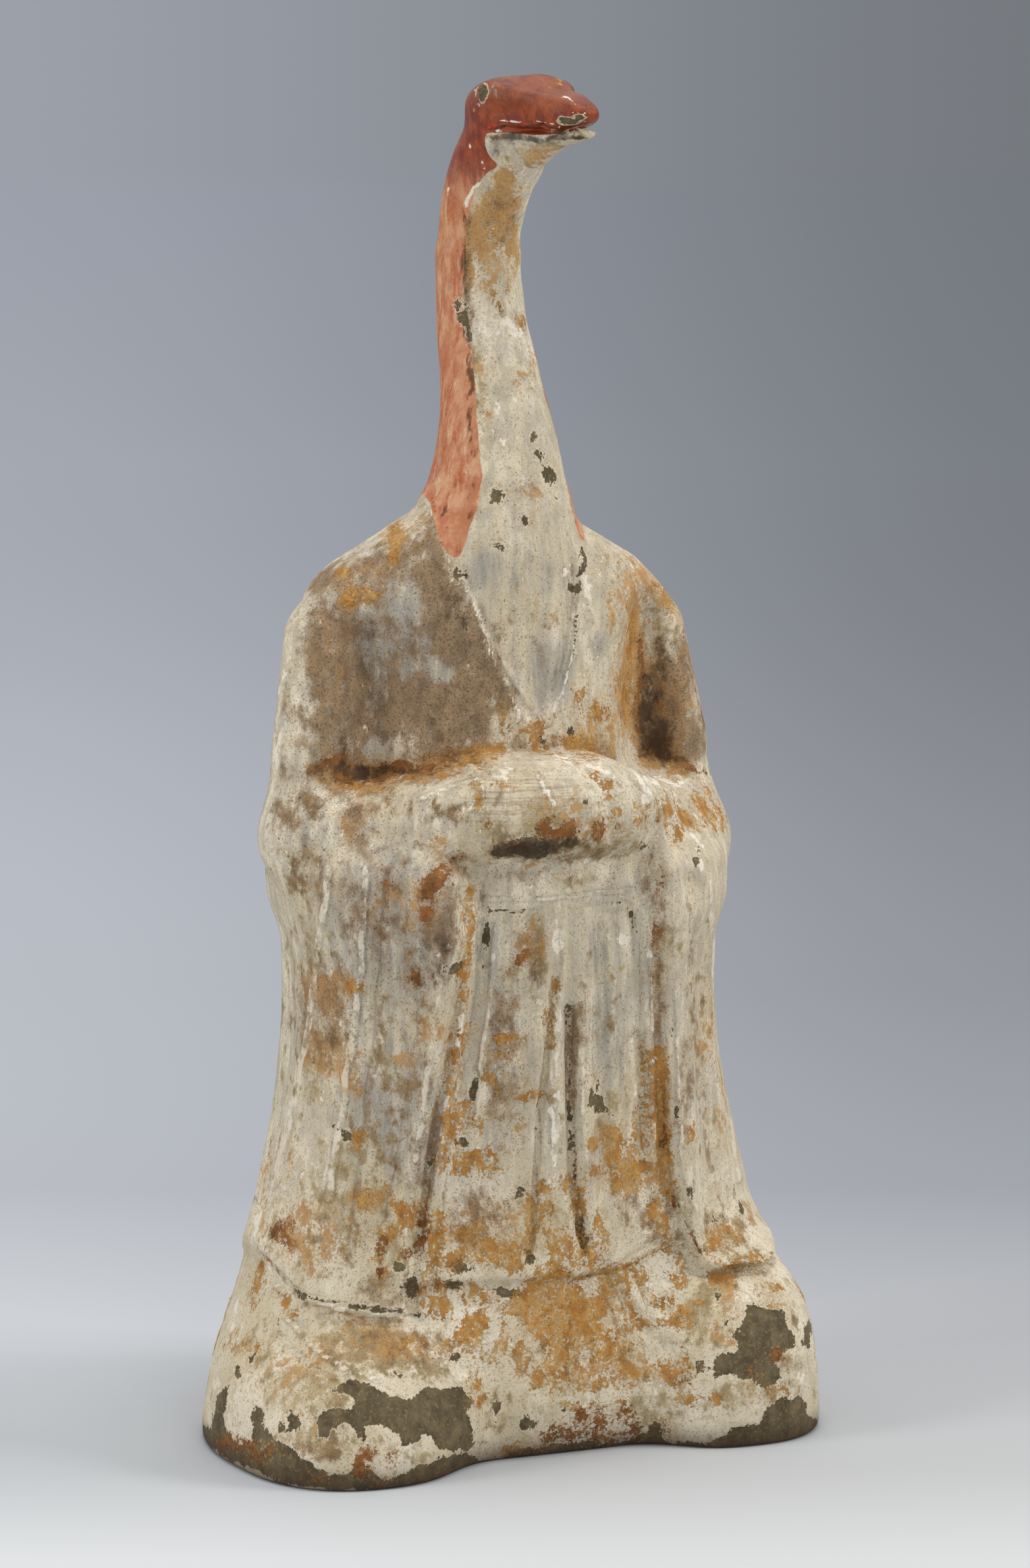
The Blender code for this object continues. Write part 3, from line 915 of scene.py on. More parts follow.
@dataclass(frozen=True)
class View:
    """The photograph's view of the figure: where the camera stands and how it frames.

    Angles are in degrees, distances in parts and places in the frame in pixels.
    """

    across: int = 1564
    down: int = 2380
    turn: float = 21.0
    rise: float = 8.0
    distance: float = 1000.0
    target: Point = (0.0, 0.0, 145.0)
    focal: float = 6878.0
    centre: Point = (770.0, 1190.0)
    sensor: float = 36.0

    @property
    def pixel(self) -> float:
        """Size of a pixel at the target, in parts."""
        return self.distance / self.focal

    def axes(self) -> Array:
        """Finds how the camera is turned.

        Returns:
            Its right, up and back directions, one a row.
        """
        turn, rise = math.radians(self.turn), math.radians(self.rise)
        level = np.array((-math.sin(turn), -math.cos(turn), 0.0))
        back = level * math.cos(rise) + np.array((0.0, 0.0, math.sin(rise)))
        right = np.array((math.cos(turn), -math.sin(turn), 0.0))
        return np.array([right, np.cross(back, right), back])

    def place(self) -> Array:
        """Where the camera stands."""
        return np.asarray(self.target) + self.axes()[2] * self.distance

    def project(self, p: Array) -> tuple[Array, Array]:
        """Finds points in the photograph.

        Args:
            p: Points, in parts.

        Returns:
            Their places across and down the frame, in pixels.
        """
        right, up, back = ((p - self.place()) @ self.axes().T).T
        return self.centre[0] - self.focal * right / back, self.centre[1] + self.focal * up / back

    def facing(self, p: Array, normals: Array) -> Array:
        """How squarely the skin faces the camera.

        Args:
            p: Points, in parts.
            normals: The skin's normals there.

        Returns:
            1 where it faces the camera and -1 where it faces away.
        """
        ray = self.place() - p
        return (ray * normals).sum(-1) / np.linalg.norm(ray, axis=-1)

    def make(self) -> bpy.types.Object:
        """Makes the scene's camera.

        Returns:
            The camera's object.
        """
        camera = bpy.data.cameras.new("photo_camera")
        camera.sensor_width = self.sensor
        camera.lens = self.focal * self.sensor / self.down
        camera.shift_x = (self.across / 2 - self.centre[0]) / self.down
        camera.shift_y = (self.centre[1] - self.down / 2) / self.down
        camera.clip_start, camera.clip_end = 0.05, 200.0
        holder = bpy.data.objects.new("photo_camera", camera)
        holder.location = (self.place() - np.array((0, FOOT_BEHIND, 0))) * PART
        holder.rotation_euler = Matrix(self.axes().tolist()).transposed().to_euler()
        bpy.context.scene.collection.objects.link(holder)
        bpy.context.scene.camera = holder
        return holder


class Layer(Enum):
    """What a mark does to the skin. The value names the mesh attribute that carries it."""

    PAINT = "paint"
    BARE = "bare"
    SOIL = "soil"
    RUST = "rust"
    GRIME = "grime"
    # Dark dirt together with painted shade in hollows, under the roll and along the mouth.
    DARK = "dark"
    WASH = "wash"
    OLIVE = "olive"
    OCHRE = "ochre"
    # Chalky white flecks, together with painted highlights on lit edges, ridges and the roll's top.
    CHALK = "chalk"
    RAW = "raw"
    BRUSHED = "brushed"
    PITTED = "pitted"
    RIDGE = "ridge"
    GROOVE = "groove"


# Layers with a crisp edge carry the distance from it, and the others a strength from 0 to 1. The
# distance grows more slowly from the edge of a large patch, so that its edge is broken more widely.
CRISP = (Layer.PAINT, Layer.BARE, Layer.SOIL, Layer.RUST, Layer.RAW, Layer.RIDGE, Layer.GROOVE)
FAR = 8.0
LARGE = 18.0


@dataclass(frozen=True)
class Blot:
    """An oval mark in the photograph: middle, half width, half height, lean in degrees, strength."""

    x: float
    y: float
    wide: float
    high: float
    lean: float = 0.0
    strength: float = 1.0

    def reach(self, px: Array, py: Array) -> Array:
        """Reads how far out places lie.

        Args:
            px: Places across the frame.
            py: Places down the frame.

        Returns:
            Distance from the middle as a share of the distance to the edge.
        """
        turn = math.radians(self.lean)
        along = (px - self.x) * math.cos(turn) + (py - self.y) * math.sin(turn)
        down = (py - self.y) * math.cos(turn) - (px - self.x) * math.sin(turn)
        return np.hypot(along / self.wide, down / self.high)

    def gap(self, px: Array, py: Array) -> Array:
        """About the distance from the edge in pixels, negative inside."""
        size = math.sqrt(self.wide * self.high)
        return (self.reach(px, py) - 1) * size / (1 + size / LARGE)

    def weight(self, px: Array, py: Array) -> Array:
        """Strength of the mark, fading out past its edge."""
        return self.strength * (1 - ease(self.reach(px, py), 0.35, 1.35))


@dataclass(frozen=True)
class Trail:
    """A mark along a line in the photograph: half width, strength and the line's points."""

    half: float
    strength: float
    line: Line

    def gap(self, px: Array, py: Array) -> Array:
        """Distance from the edge in pixels, negative inside."""
        return line_gap(px, py, self.line) - self.half

    def weight(self, px: Array, py: Array) -> Array:
        """Strength of the mark, fading out past its edge."""
        return self.strength * (1 - ease(line_gap(px, py, self.line) / self.half, 0.35, 1.5))


@dataclass(frozen=True)
class Region:
    """An area of the photograph inside a closed outline."""

    outline: Line

    def gap(self, px: Array, py: Array) -> Array:
        """Reads how far places lie from the outline.

        Args:
            px: Places across the frame.
            py: Places down the frame.

        Returns:
            Distances in pixels, negative inside.
        """
        away = line_gap(px, py, self.outline + self.outline[:1])
        inside = np.zeros(np.shape(px), bool)
        for (x0, y0), (x1, y1) in zip(self.outline, self.outline[1:] + self.outline[:1]):
            if y0 == y1:
                continue
            spans = (y0 > py) != (y1 > py)
            inside ^= spans & (px < x0 + (py - y0) * (x1 - x0) / (y1 - y0))
        return np.where(inside, -away, away)


def blots(*rows: Point) -> tuple[Blot, ...]:
    """Makes blots from rows of their values."""
    return tuple(Blot(*row) for row in rows)


def trails(*rows: tuple) -> tuple[Trail, ...]:
    """Makes trails from rows of half width, strength and points."""
    return tuple(Trail(half, strength, line) for half, strength, *line in rows)


# The red pigment: head above the mouth and back of the neck, down to a tongue on the collar.
RED_HEAD_AND_NECK = Region((
    (930, 60), (930, 184), (901, 184), (884, 190), (862, 197), (846, 204), (815, 205), (780, 203),
    (752, 201), (741, 202), (737, 210), (738, 222), (744, 236), (752, 246), (756, 251), (751, 257),
    (740, 262), (730, 273), (722, 284), (721, 292), (717, 308), (713, 326), (708, 350), (707, 392),
    (706, 440), (699, 456), (704, 482), (711, 505), (717, 530), (720, 570), (723, 610), (724, 640),
    (727, 658), (730, 700), (732, 722), (727, 744), (727, 764), (718, 786), (711, 808), (704, 832),
    (694, 847), (681, 842), (668, 822), (659, 788), (650, 760), (636, 742), (560, 742), (560, 60),
))

# Bare clay: the great patches of the foot and the rim along its lower edge.
CLAY_PATCHES = (
    Region((
        (502, 2106), (517, 2095), (535, 2093), (556, 2098), (570, 2106), (586, 2112), (600, 2121),
        (615, 2125), (628, 2113), (648, 2104), (664, 2106), (682, 2101), (700, 2101), (712, 2112),
        (721, 2126), (712, 2142), (716, 2160), (720, 2172), (716, 2198), (700, 2206), (676, 2204),
        (662, 2196), (650, 2172), (640, 2186), (612, 2196), (604, 2176), (592, 2168), (572, 2160),
        (556, 2166), (552, 2190), (538, 2172), (520, 2162), (504, 2170), (494, 2184), (480, 2178),
        (476, 2158), (484, 2146), (502, 2138), (520, 2136), (534, 2140), (538, 2128), (520, 2116),
    )),
    Region((
        (300, 2160), (308, 2150), (318, 2170), (326, 2140), (332, 2112), (340, 2098), (348, 2104),
        (346, 2130), (338, 2146), (346, 2172), (362, 2190), (380, 2186), (384, 2168), (378, 2150),
        (386, 2136), (398, 2136), (404, 2150), (400, 2166), (412, 2180), (430, 2190), (446, 2204),
        (470, 2220), (498, 2236), (530, 2236), (534, 2220), (556, 2226), (584, 2248), (604, 2240),
        (640, 2226), (668, 2212), (700, 2206), (742, 2222), (742, 2236), (700, 2250), (600, 2262),
        (520, 2262), (430, 2252), (350, 2218), (300, 2190),
    )),
    Region((
        (742, 2222), (780, 2206), (800, 2196), (830, 2196), (870, 2190), (930, 2187), (962, 2180),
        (984, 2172), (1002, 2190), (1060, 2186), (1100, 2181), (1112, 2166), (1148, 2163), (1154, 2150),
        (1160, 2132), (1182, 2124), (1202, 2126), (1216, 2119), (1224, 2128), (1226, 2146), (1244, 2156),
        (1244, 2182), (1200, 2200), (1100, 2210), (960, 2206), (860, 2210), (742, 2240),
    )),
    Region((
        (1131, 1984), (1142, 1979), (1168, 1981), (1190, 1985), (1197, 2000), (1201, 2022), (1206, 2044),
        (1190, 2054), (1180, 2070), (1186, 2090), (1172, 2108), (1152, 2106), (1140, 2094), (1112, 2091),
        (1086, 2090), (1080, 2074), (1090, 2060), (1102, 2054), (1118, 2052), (1120, 2040), (1110, 2026),
        (1126, 2010), (1132, 1996),
    )),
)

# Soil: the crust that has run down the middle of the foot.
SOIL_CRUSTS = (
    Region((
        (764, 1986), (778, 1974), (792, 1966), (802, 1944), (816, 1930), (834, 1925), (848, 1931),
        (858, 1942), (870, 1946), (880, 1972), (886, 1992), (896, 2008), (914, 2010), (932, 2030),
        (960, 2034), (958, 2050), (948, 2062), (956, 2076), (986, 2080), (1000, 2072), (1006, 2084),
        (986, 2096), (960, 2101), (938, 2090), (906, 2076), (896, 2052), (880, 2045), (852, 2044),
        (830, 2040), (812, 2030), (798, 2018), (790, 1998), (774, 1996),
    )),
    Region((
        (702, 2000), (712, 1990), (736, 1990), (742, 2006), (733, 2020), (736, 2040), (724, 2056),
        (706, 2050), (697, 2030), (706, 2016),
    )),
)

MARKS: dict[Layer, tuple] = {
    Layer.PAINT: (RED_HEAD_AND_NECK,) + trails(
        (4, 1, (812, 521), (824, 570), (842, 640), (856, 690), (872, 770), (884, 815)),
    ),
    Layer.BARE: CLAY_PATCHES + blots(
        # Head and neck
        (733, 140, 8, 15, 8), (863, 184, 14, 5), (881, 178, 8, 4), (852, 181, 4, 4),
        (695, 462, 7, 9, -30), (704, 478, 8, 16, -15), (711, 500, 4, 14, -10),
        (752, 752, 11, 12), (815, 690, 8, 8), (836, 716, 11, 17, -25), (846, 755, 4, 6),
        (810, 663, 8, 6), (755, 829, 9, 6), (797, 788, 3, 6),
        # Collar and chest
        (697, 872, 8, 12, -25), (886, 842, 6, 14, 8), (881, 866, 6, 14, 14), (873, 890, 10, 8),
        (873, 937, 2.5, 8, 8), (872, 975, 3, 14, -3), (825, 1128, 5, 7), (869, 1112, 8, 9, 30),
        # Roll
        (797, 1289, 30, 12, 4), (806, 1277, 15, 9), (766, 1293, 18, 7), (812, 1301, 16, 7),
        (831, 1288, 10, 9), (875, 1261, 6, 7), (853, 1298, 6, 4), (886, 1224, 4, 10, -15),
        (1058, 1306, 4.5, 13, 5), (979, 1288, 7, 4, -25),
        # Panel
        (776, 1383, 32, 3, 2), (741, 1410, 4, 26, 6), (733, 1482, 3, 20, 8), (718, 1650, 5, 20, 8),
        (906, 1648, 7, 10), (908, 1672, 15, 20, -10), (690, 1468, 13, 8, -20), (680, 1438, 4, 4),
        (1023, 1468, 2, 7), (1021, 1570, 2, 8), (1028, 1690, 3.5, 11), (940, 1372, 16, 3, -4),
        (960, 1395, 3.5, 20, -10),
        # Hem
        (790, 1812, 5, 7), (622, 1952, 12, 16, 15), (605, 1926, 10, 7), (697, 1925, 24, 8),
        (690, 1950, 18, 7), (862, 1936, 20, 7, 3), (803, 1906, 8, 12), (885, 1884, 8, 24, -12),
        (881, 1858, 6, 14), (770, 1962, 22, 8, 12), (1112, 1925, 22, 5, -6), (1127, 1828, 5, 9),
        (1090, 1968, 6, 8), (525, 1722, 18, 8, 30), (1085, 1857, 6, 8), (700, 1735, 12, 7),
        (420, 2000, 3, 8), (657, 1762, 4, 8), (1050, 1808, 8, 12, -20),
        # Foot
        (447, 2152, 14, 17), (430, 2170, 10, 12, 30), (1064, 2074, 8, 11), (1081, 2094, 5, 6),
        (1227, 2024, 8, 20), (1098, 2006, 6, 5), (858, 2143, 12, 6), (993, 2170, 12, 16),
        (800, 2162, 10, 9), (754, 2138, 6, 16), (690, 2062, 6, 7), (606, 2086, 7, 6), (700, 2228, 40, 14),
        (383, 2058, 4, 10, 20), (362, 2085, 4, 12),
    ) + trails(
        (0.8, 1, (864, 1528), (866, 1600), (865, 1650), (867, 1700)),
        (2.6, 1, (866, 1680), (869, 1740), (872, 1792), (876, 1830)),
        (1.2, 1, (817, 1668), (815, 1700), (813, 1738), (811, 1790)),
        (4, 1, (448, 1965), (480, 1973), (520, 1981), (560, 1988), (600, 1991), (636, 1997)),
        (1.4, 1, (850, 2043), (870, 2051), (891, 2063)),
    ),
    Layer.SOIL: SOIL_CRUSTS + blots(
        # Neck and chest
        (747, 447, 4, 8, -20), (772, 436, 2.5, 7), (757, 466, 2, 6), (790, 492, 4, 9),
        (803, 1106, 12, 10, -20), (820, 1096, 10, 5, -40), (812, 1122, 6, 12), (822, 1142, 9, 6),
        (880, 1130, 22, 14), (860, 1148, 14, 5), (900, 1146, 12, 6), (880, 1056, 6, 10),
        (905, 1080, 8, 9), (598, 822, 6, 26, 6), (765, 1088, 5, 10), (735, 1142, 20, 7),
        (725, 1160, 12, 6), (560, 905, 16, 6), (528, 905, 8, 12), (525, 868, 7, 10),
        # Shelf over the roll
        (610, 1176, 34, 6, -4), (665, 1172, 40, 8, -12), (712, 1152, 14, 8, -14), (545, 1192, 24, 6, 8),
        # Roll
        (725, 1193, 9, 5, -12), (725, 1213, 2.5, 4), (770, 1188, 6, 4), (922, 1193, 5, 4),
        (956, 1000, 4, 40), (948, 1064, 5, 34), (962, 940, 5, 24), (1008, 900, 6, 30, -20),
        (975, 1236, 7, 14, -8), (1012, 1226, 12, 18), (1042, 1242, 13, 12, -20), (1064, 1222, 13, 17, 25),
        (1082, 1236, 10, 14), (1029, 1262, 7, 13), (1004, 1212, 6, 5), (1096, 1243, 5, 10),
        (752, 1290, 5, 6), (936, 1231, 5, 5), (921, 1209, 5, 4), (905, 1176, 4, 8, -50),
        # Panel
        (704, 1571, 9, 12, 20), (697, 1594, 5, 12), (775, 1575, 14, 5), (765, 1602, 22, 5),
        (718, 1702, 14, 12), (700, 1690, 12, 14), (802, 1664, 18, 6, -4), (686, 1720, 8, 16),
        (740, 1640, 8, 5), (535, 1503, 12, 8), (978, 1610, 5, 14), (977, 1690, 6, 26),
        (828, 1542, 3, 8), (541, 1737, 5, 10), (730, 1772, 10, 7, 20), (705, 1765, 14, 12),
        (750, 1776, 8, 6), (726, 1752, 12, 5), (905, 1740, 8, 9), (926, 1734, 14, 13),
        (936, 1750, 7, 14), (902, 1778, 7, 6), (940, 1800, 6, 10), (960, 1770, 20, 20),
        # Hem
        (672, 1876, 10, 18), (704, 1872, 16, 9), (736, 1890, 22, 8, 14), (772, 1892, 14, 8),
        (677, 1916, 16, 12), (716, 1908, 26, 11, 10), (757, 1911, 16, 9), (782, 1912, 8, 11),
        (715, 1962, 14, 10), (740, 1972, 12, 7), (667, 1955, 12, 10), (665, 1985, 14, 12),
        (828, 1805, 14, 6), (824, 1836, 14, 14), (806, 1850, 6, 30), (838, 1872, 9, 7),
        (852, 1888, 16, 20), (845, 1920, 12, 8), (874, 1904, 14, 12), (896, 1908, 10, 18),
        (875, 1828, 10, 30, -6), (864, 1800, 10, 10), (908, 1862, 5, 18), (916, 1896, 7, 16),
        (562, 1820, 16, 10), (582, 1808, 10, 8), (602, 1830, 12, 6, 30), (636, 1842, 14, 12),
        (604, 1866, 26, 9, -22), (612, 1904, 7, 7), (580, 1930, 5, 20), (575, 1908, 7, 8),
        (975, 1706, 8, 22), (998, 1838, 12, 14), (1006, 1864, 7, 16), (1015, 1890, 8, 10),
        (1098, 1942, 16, 13, 10), (1140, 1917, 22, 8, -20), (1171, 1957, 10, 7), (1027, 1942, 6, 8),
        (1112, 1872, 10, 10), (1083, 1888, 8, 10), (895, 1932, 30, 6, -14), (1050, 1722, 6, 8),
        # Foot
        (840, 1962, 34, 24), (895, 2030, 14, 14), (945, 2020, 14, 10), (860, 2062, 22, 10, 10),
        (830, 2076, 12, 12), (905, 2060, 10, 8), (818, 2094, 12, 12), (880, 2090, 20, 12),
        (905, 2102, 18, 7), (840, 2105, 10, 6), (1022, 2086, 22, 14), (1036, 2080, 8, 18),
        (1012, 1982, 8, 8), (1040, 1988, 18, 6, -30), (1030, 2008, 12, 8), (925, 1955, 10, 16),
        (980, 2008, 8, 8), (905, 1985, 18, 20), (880, 2135, 22, 5), (945, 2132, 5, 5),
        (720, 2100, 8, 14), (728, 2122, 6, 6), (617, 2038, 6, 5), (676, 2042, 6, 8),
        (790, 2060, 8, 20, -20), (742, 2062, 14, 5), (775, 2200, 14, 5, -20), (760, 2040, 6, 14),
        (1170, 2112, 12, 6), (1040, 2125, 16, 5), (1085, 2125, 6, 4), (370, 2045, 14, 5),
    ) + trails(
        (4, 1, (710, 1350), (713, 1400), (708, 1450), (703, 1500), (698, 1545)),
        (6, 1, (697, 1600), (690, 1640), (680, 1690), (678, 1730), (672, 1775)),
        (7, 1, (664, 1846), (660, 1880), (656, 1915)),
        (5, 1, (652, 1925), (645, 1960), (640, 1985)),
        (9, 1, (1000, 1600), (1003, 1660), (1006, 1735), (1010, 1790), (1022, 1820)),
        (2.6, 1, (843, 1490), (838, 1545), (834, 1588)),
        (5, 1, (400, 1915), (391, 1945), (384, 1980)),
        (4, 1, (425, 1962), (440, 2000)),
        (3, 1, (890, 1940), (960, 1918), (1005, 1896)),
        (7, 1, (946, 1930), (950, 1960), (958, 1995), (966, 2012)),
        (5, 1, (970, 1930), (982, 1955), (992, 1978)),
        (6, 1, (818, 2030), (860, 2010), (890, 2000)),
        (4, 1, (1030, 1905), (1040, 1935)),
    ),
    Layer.RUST: blots(
        (508, 1160, 12, 12, 20), (540, 1176, 44, 12, 4), (600, 1166, 34, 9), (660, 1164, 30, 6, -12),
        (972, 1010, 4, 40), (1000, 1134, 18, 10), (966, 1090, 4, 26), (1032, 1156, 26, 6, 20),
        (1004, 1060, 4, 30),
        (655, 1345, 16, 22, 35), (672, 1322, 14, 10, -40), (690, 1306, 9, 4, -35), (639, 1357, 10, 6),
        (648, 1388, 8, 14), (848, 1266, 24, 8, 4), (865, 1254, 7, 6), (830, 1245, 5, 3), (826, 1262, 10, 7),
        (907, 1258, 8, 9), (937, 1254, 6, 4), (738, 1255, 6, 4), (785, 1283, 8, 4), (792, 1455, 6, 12, 30),
        (1000, 1422, 4, 12), (1000, 1340, 4, 12), (590, 1345, 7, 5, 40), (627, 1484, 7, 5),
        (430, 1868, 14, 12),
        (442, 1886, 7, 8), (577, 1890, 8, 11), (644, 1850, 8, 14), (637, 1886, 5, 14), (578, 1925, 4, 12),
        (886, 2150, 12, 14), (862, 2172, 16, 8), (830, 2186, 12, 10), (850, 2180, 14, 8),
        (912, 2160, 8, 14), (935, 2182, 26, 6), (965, 2168, 8, 16), (945, 2145, 14, 10),
        (912, 2184, 10, 8), (1006, 2160, 8, 5), (1012, 2172, 5, 12),
        (350, 2192, 16, 8, 10), (376, 2192, 12, 6, 20), (402, 2202, 14, 5), (388, 2212, 8, 7),
        (556, 2206, 12, 14, 15), (548, 2232, 10, 7), (594, 2209, 7, 9), (583, 2247, 9, 5),
        (672, 2240, 5, 7), (484, 2243, 9, 4), (775, 1100, 3, 6), (618, 1905, 5, 8), (1180, 2058, 7, 6),
        (1040, 2088, 8, 10), (1142, 2088, 5, 8),
    ) + trails(
        (2.5, 1, (1020, 1815), (1034, 1845), (1046, 1870), (1058, 1900)),
        (1.5, 1, (1004, 1640), (1006, 1690), (1008, 1740)),
    ),
    Layer.RAW: blots(
        (748, 191, 9, 5), (799, 190, 10, 3.5, 10), (739, 201, 5, 2), (779, 199, 5, 2),
    ) + trails(
        (2.2, 1, (866, 199), (880, 195), (900, 187)),
        (1, 1, (744, 137), (738, 148), (735, 155)),
        (1, 1, (655, 755), (661, 786)),
        (1.5, 1, (788, 182), (793, 190)),
    ),
    Layer.GRIME: blots(
        (668, 905, 36, 56, -12, 1.0), (690, 960, 44, 70, -25, 1.0), (725, 1015, 40, 50, -30, 1.0),
        (600, 1010, 80, 120, 0, 0.5), (545, 1080, 24, 90, 0, 1.0), (640, 1090, 90, 60, 0, 0.8),
        (700, 1085, 70, 50, 0, 0.75), (482, 970, 16, 90, 3, 0.9), (560, 880, 60, 40, 0, 0.5),
        (630, 850, 60, 40, 0, 0.55), (500, 1120, 40, 40, 0, 0.6), (560, 1175, 140, 20, 0, 0.7),
        (985, 1040, 40, 90, 0, 0.5), (990, 1090, 34, 80, 0, 1.0), (1035, 1120, 50, 60, 0, 0.85),
        (985, 920, 30, 30, 0, 0.3), (1040, 1000, 20, 70, 0, 0.6), (800, 950, 60, 60, 0, 0.25),
        (790, 740, 50, 50, 0, 0.2), (509, 1010, 40, 130, 0, 0.7), (520, 900, 50, 60, 0, 0.3),
        (470, 1060, 30, 110, 0, 0.4), (668, 1390, 36, 100, 0, 0.75), (560, 1330, 90, 80, 0, 0.35),
        (600, 1460, 90, 110, 0, 0.25), (650, 1720, 34, 120, 0, 0.5), (765, 1610, 34, 150, 0, 0.6),
        (990, 1840, 70, 50, 0, 0.5),
        (880, 1580, 24, 110, 0, 0.4), (1045, 1600, 16, 150, 0, 0.3),
        (881, 1600, 16, 100, 0, 0.3), (1035, 1690, 14, 90, 0, 0.4), (664, 800, 30, 40, -20, 0.6),
        (610, 840, 70, 30, -20, 0.3), (540, 1160, 60, 26, 0, 0.6), (1180, 2000, 40, 30, 0, 0.4),
        (1190, 2090, 40, 60, 0, 0.4), (520, 2150, 60, 40, 0, 0.4), (660, 2040, 50, 40, 0, 0.3),
        (470, 880, 40, 30, 0, 0.4), (430, 1100, 30, 80, 0, 0.3), (540, 1215, 120, 30, 0, 0.45),
        (690, 1240, 60, 26, 0, 0.4), (540, 1260, 40, 40, 0, 0.45), (840, 1285, 110, 22, 0, 0.5),
        (490, 1540, 60, 100, 0, 0.55), (560, 1400, 50, 60, 0, 0.45), (630, 1500, 60, 100, 0, 0.2),
        (600, 1700, 80, 120, 0, 0.35), (520, 1880, 80, 60, 0, 0.25), (590, 1960, 60, 30, 0, 0.6),
        (730, 1850, 60, 50, 0, 0.6), (800, 1450, 30, 60, 0, 0.5), (1000, 1480, 14, 140, 0, 0.6),
        (985, 1360, 16, 40, 0, 0.5), (930, 1560, 40, 90, 0, 0.15), (560, 2060, 120, 40, 0, 0.35),
        (770, 1330, 60, 16, 0, 0.25), (1110, 1880, 40, 60, 0, 0.35), (1090, 2010, 50, 50, 0, 0.3),
        (480, 2200, 80, 26, 0, 0.4), (1060, 1560, 20, 160, 0, 0.15), (760, 330, 36, 60, 0, 0.4),
        (540, 850, 60, 40, -30, 0.25), (470, 900, 40, 60, 30, 0.35), (1020, 1060, 40, 90, 0, 0.75),
        (450, 1240, 50, 50, 0, 0.5), (470, 1330, 40, 60, 0, 0.45), (800, 1290, 60, 16, 0, 0.8),
        (520, 1060, 14, 90, 0, 0.35), (960, 870, 60, 40, 30, 0.2),
    ) + trails(
        (9, 0.7, (712, 330), (706, 400), (708, 520), (716, 620), (720, 720), (706, 800)),
        (24, 0.8, (668, 870), (700, 945), (735, 1010), (765, 1060)),
    ),
    # Painted shade in the hollows beside the arms, under the roll and along the mouth and jaw, with dark
    # dirt in them.
    Layer.DARK: blots(
        (985, 1072, 20, 50, -4, 1.0), (1000, 1116, 30, 36, 0, 1.0), (1020, 1148, 30, 9, 20, 0.8),
        (975, 1100, 10, 40, 0, 0.5), (540, 1110, 7, 46, 3, 0.65), (505, 932, 20, 14, -20, 0.35),
        (540, 1172, 40, 14, 0, 1.0), (520, 1140, 14, 40, 0, 0.6), (600, 1168, 40, 8, 0, 0.8),
        (690, 930, 22, 60, -22, 0.55), (672, 1440, 16, 90, 6, 0.4), (1000, 1250, 40, 20, 0, 0.3),
        (550, 1185, 22, 7, 12, 0.8), (720, 342, 14, 16, 0, 0.5), (692, 812, 10, 20, 10, 0.4),
        (760, 762, 8, 5, 0, 0.6), (478, 1115, 10, 34, 0, 0.3), (715, 745, 6, 40, -8, 0.4),
        (704, 410, 4, 26, 0, 0.45), (834, 152, 10, 7, 0, 0.4), (884, 150, 9, 5, 0, 0.5),
        (660, 1445, 20, 60, 0, 0.2), (1004, 1640, 6, 60, 0, 0.25), (1050, 1880, 8, 24, -30, 0.4),
        (1055, 1800, 8, 18, -20, 0.45), (890, 1900, 8, 14, -10, 0.4), (696, 1594, 3, 8, 0, 0.6),
        (702, 930, 14, 40, -22, 0.3), (655, 912, 22, 34, 0, 0.25), (560, 1168, 60, 10, 4, 0.6),
        (640, 1172, 50, 9, -6, 0.45), (800, 1292, 70, 16, 0, 1.0), (870, 1276, 50, 12, 0, 0.7),
        (690, 1085, 50, 40, 0, 0.3), (640, 1120, 80, 30, 0, 0.3), (1000, 1010, 40, 60, 0, 0.4),
        (490, 950, 24, 40, 0, 0.3), (740, 1262, 40, 10, 0, 0.3), (990, 1155, 40, 14, 14, 0.5),
        (610, 1440, 50, 60, 0, 0.2), (510, 1560, 60, 60, 0, 0.15),
        (790, 209, 56, 8, 3, 0.85), (860, 209, 40, 5, -6, 0.85), (762, 222, 22, 12, 0, 0.6),
        (765, 194, 10, 3, 0, 0.9), (822, 192, 12, 3, 0, 0.9), (848, 204, 40, 2.5, 2, 0.6),
    ) + trails(
        (2, 0.9, (742, 195), (770, 193), (800, 192), (828, 193), (850, 198)),
        (3, 0.6, (852, 203), (875, 198), (900, 191)),
        (3, 0.45, (706, 400), (707, 470), (714, 560), (718, 660)),
        (5, 0.5, (712, 900), (735, 960), (752, 1010)),
        (4, 0.55, (868, 1946), (960, 1920), (1010, 1896)),
        (3, 0.5, (445, 1963), (520, 1978), (625, 1998)),
    ),
    Layer.WASH: blots(
        (762, 1560, 28, 130, 0, 0.7), (925, 1540, 32, 120, 0, 0.6), (745, 1440, 20, 60, 0, 0.7),
        (835, 1020, 44, 60, 0, 0.9), (660, 1400, 40, 80, 0, 0.7), (600, 980, 110, 170, 0, 0.95),
        (505, 1000, 50, 170, 0, 0.6), (560, 1400, 110, 150, 0, 0.55), (600, 1650, 80, 160, 0, 0.5),
        (450, 1240, 60, 60, 0, 0.6), (1000, 900, 60, 70, 0, 0.4), (900, 1500, 60, 150, 0, 0.4),
        (540, 860, 80, 50, 0, 0.3),
        (800, 212, 60, 9, 0, 0.7), (775, 235, 30, 14, 0, 0.5), (850, 208, 40, 6, 0, 0.6),
        (520, 1420, 60, 80, 0, 0.5), (505, 1040, 30, 120, 0, 0.7),
        (520, 1060, 12, 70, 0, 0.9), (735, 870, 26, 34, 0, 0.9), (800, 870, 80, 50, 0, 0.55),
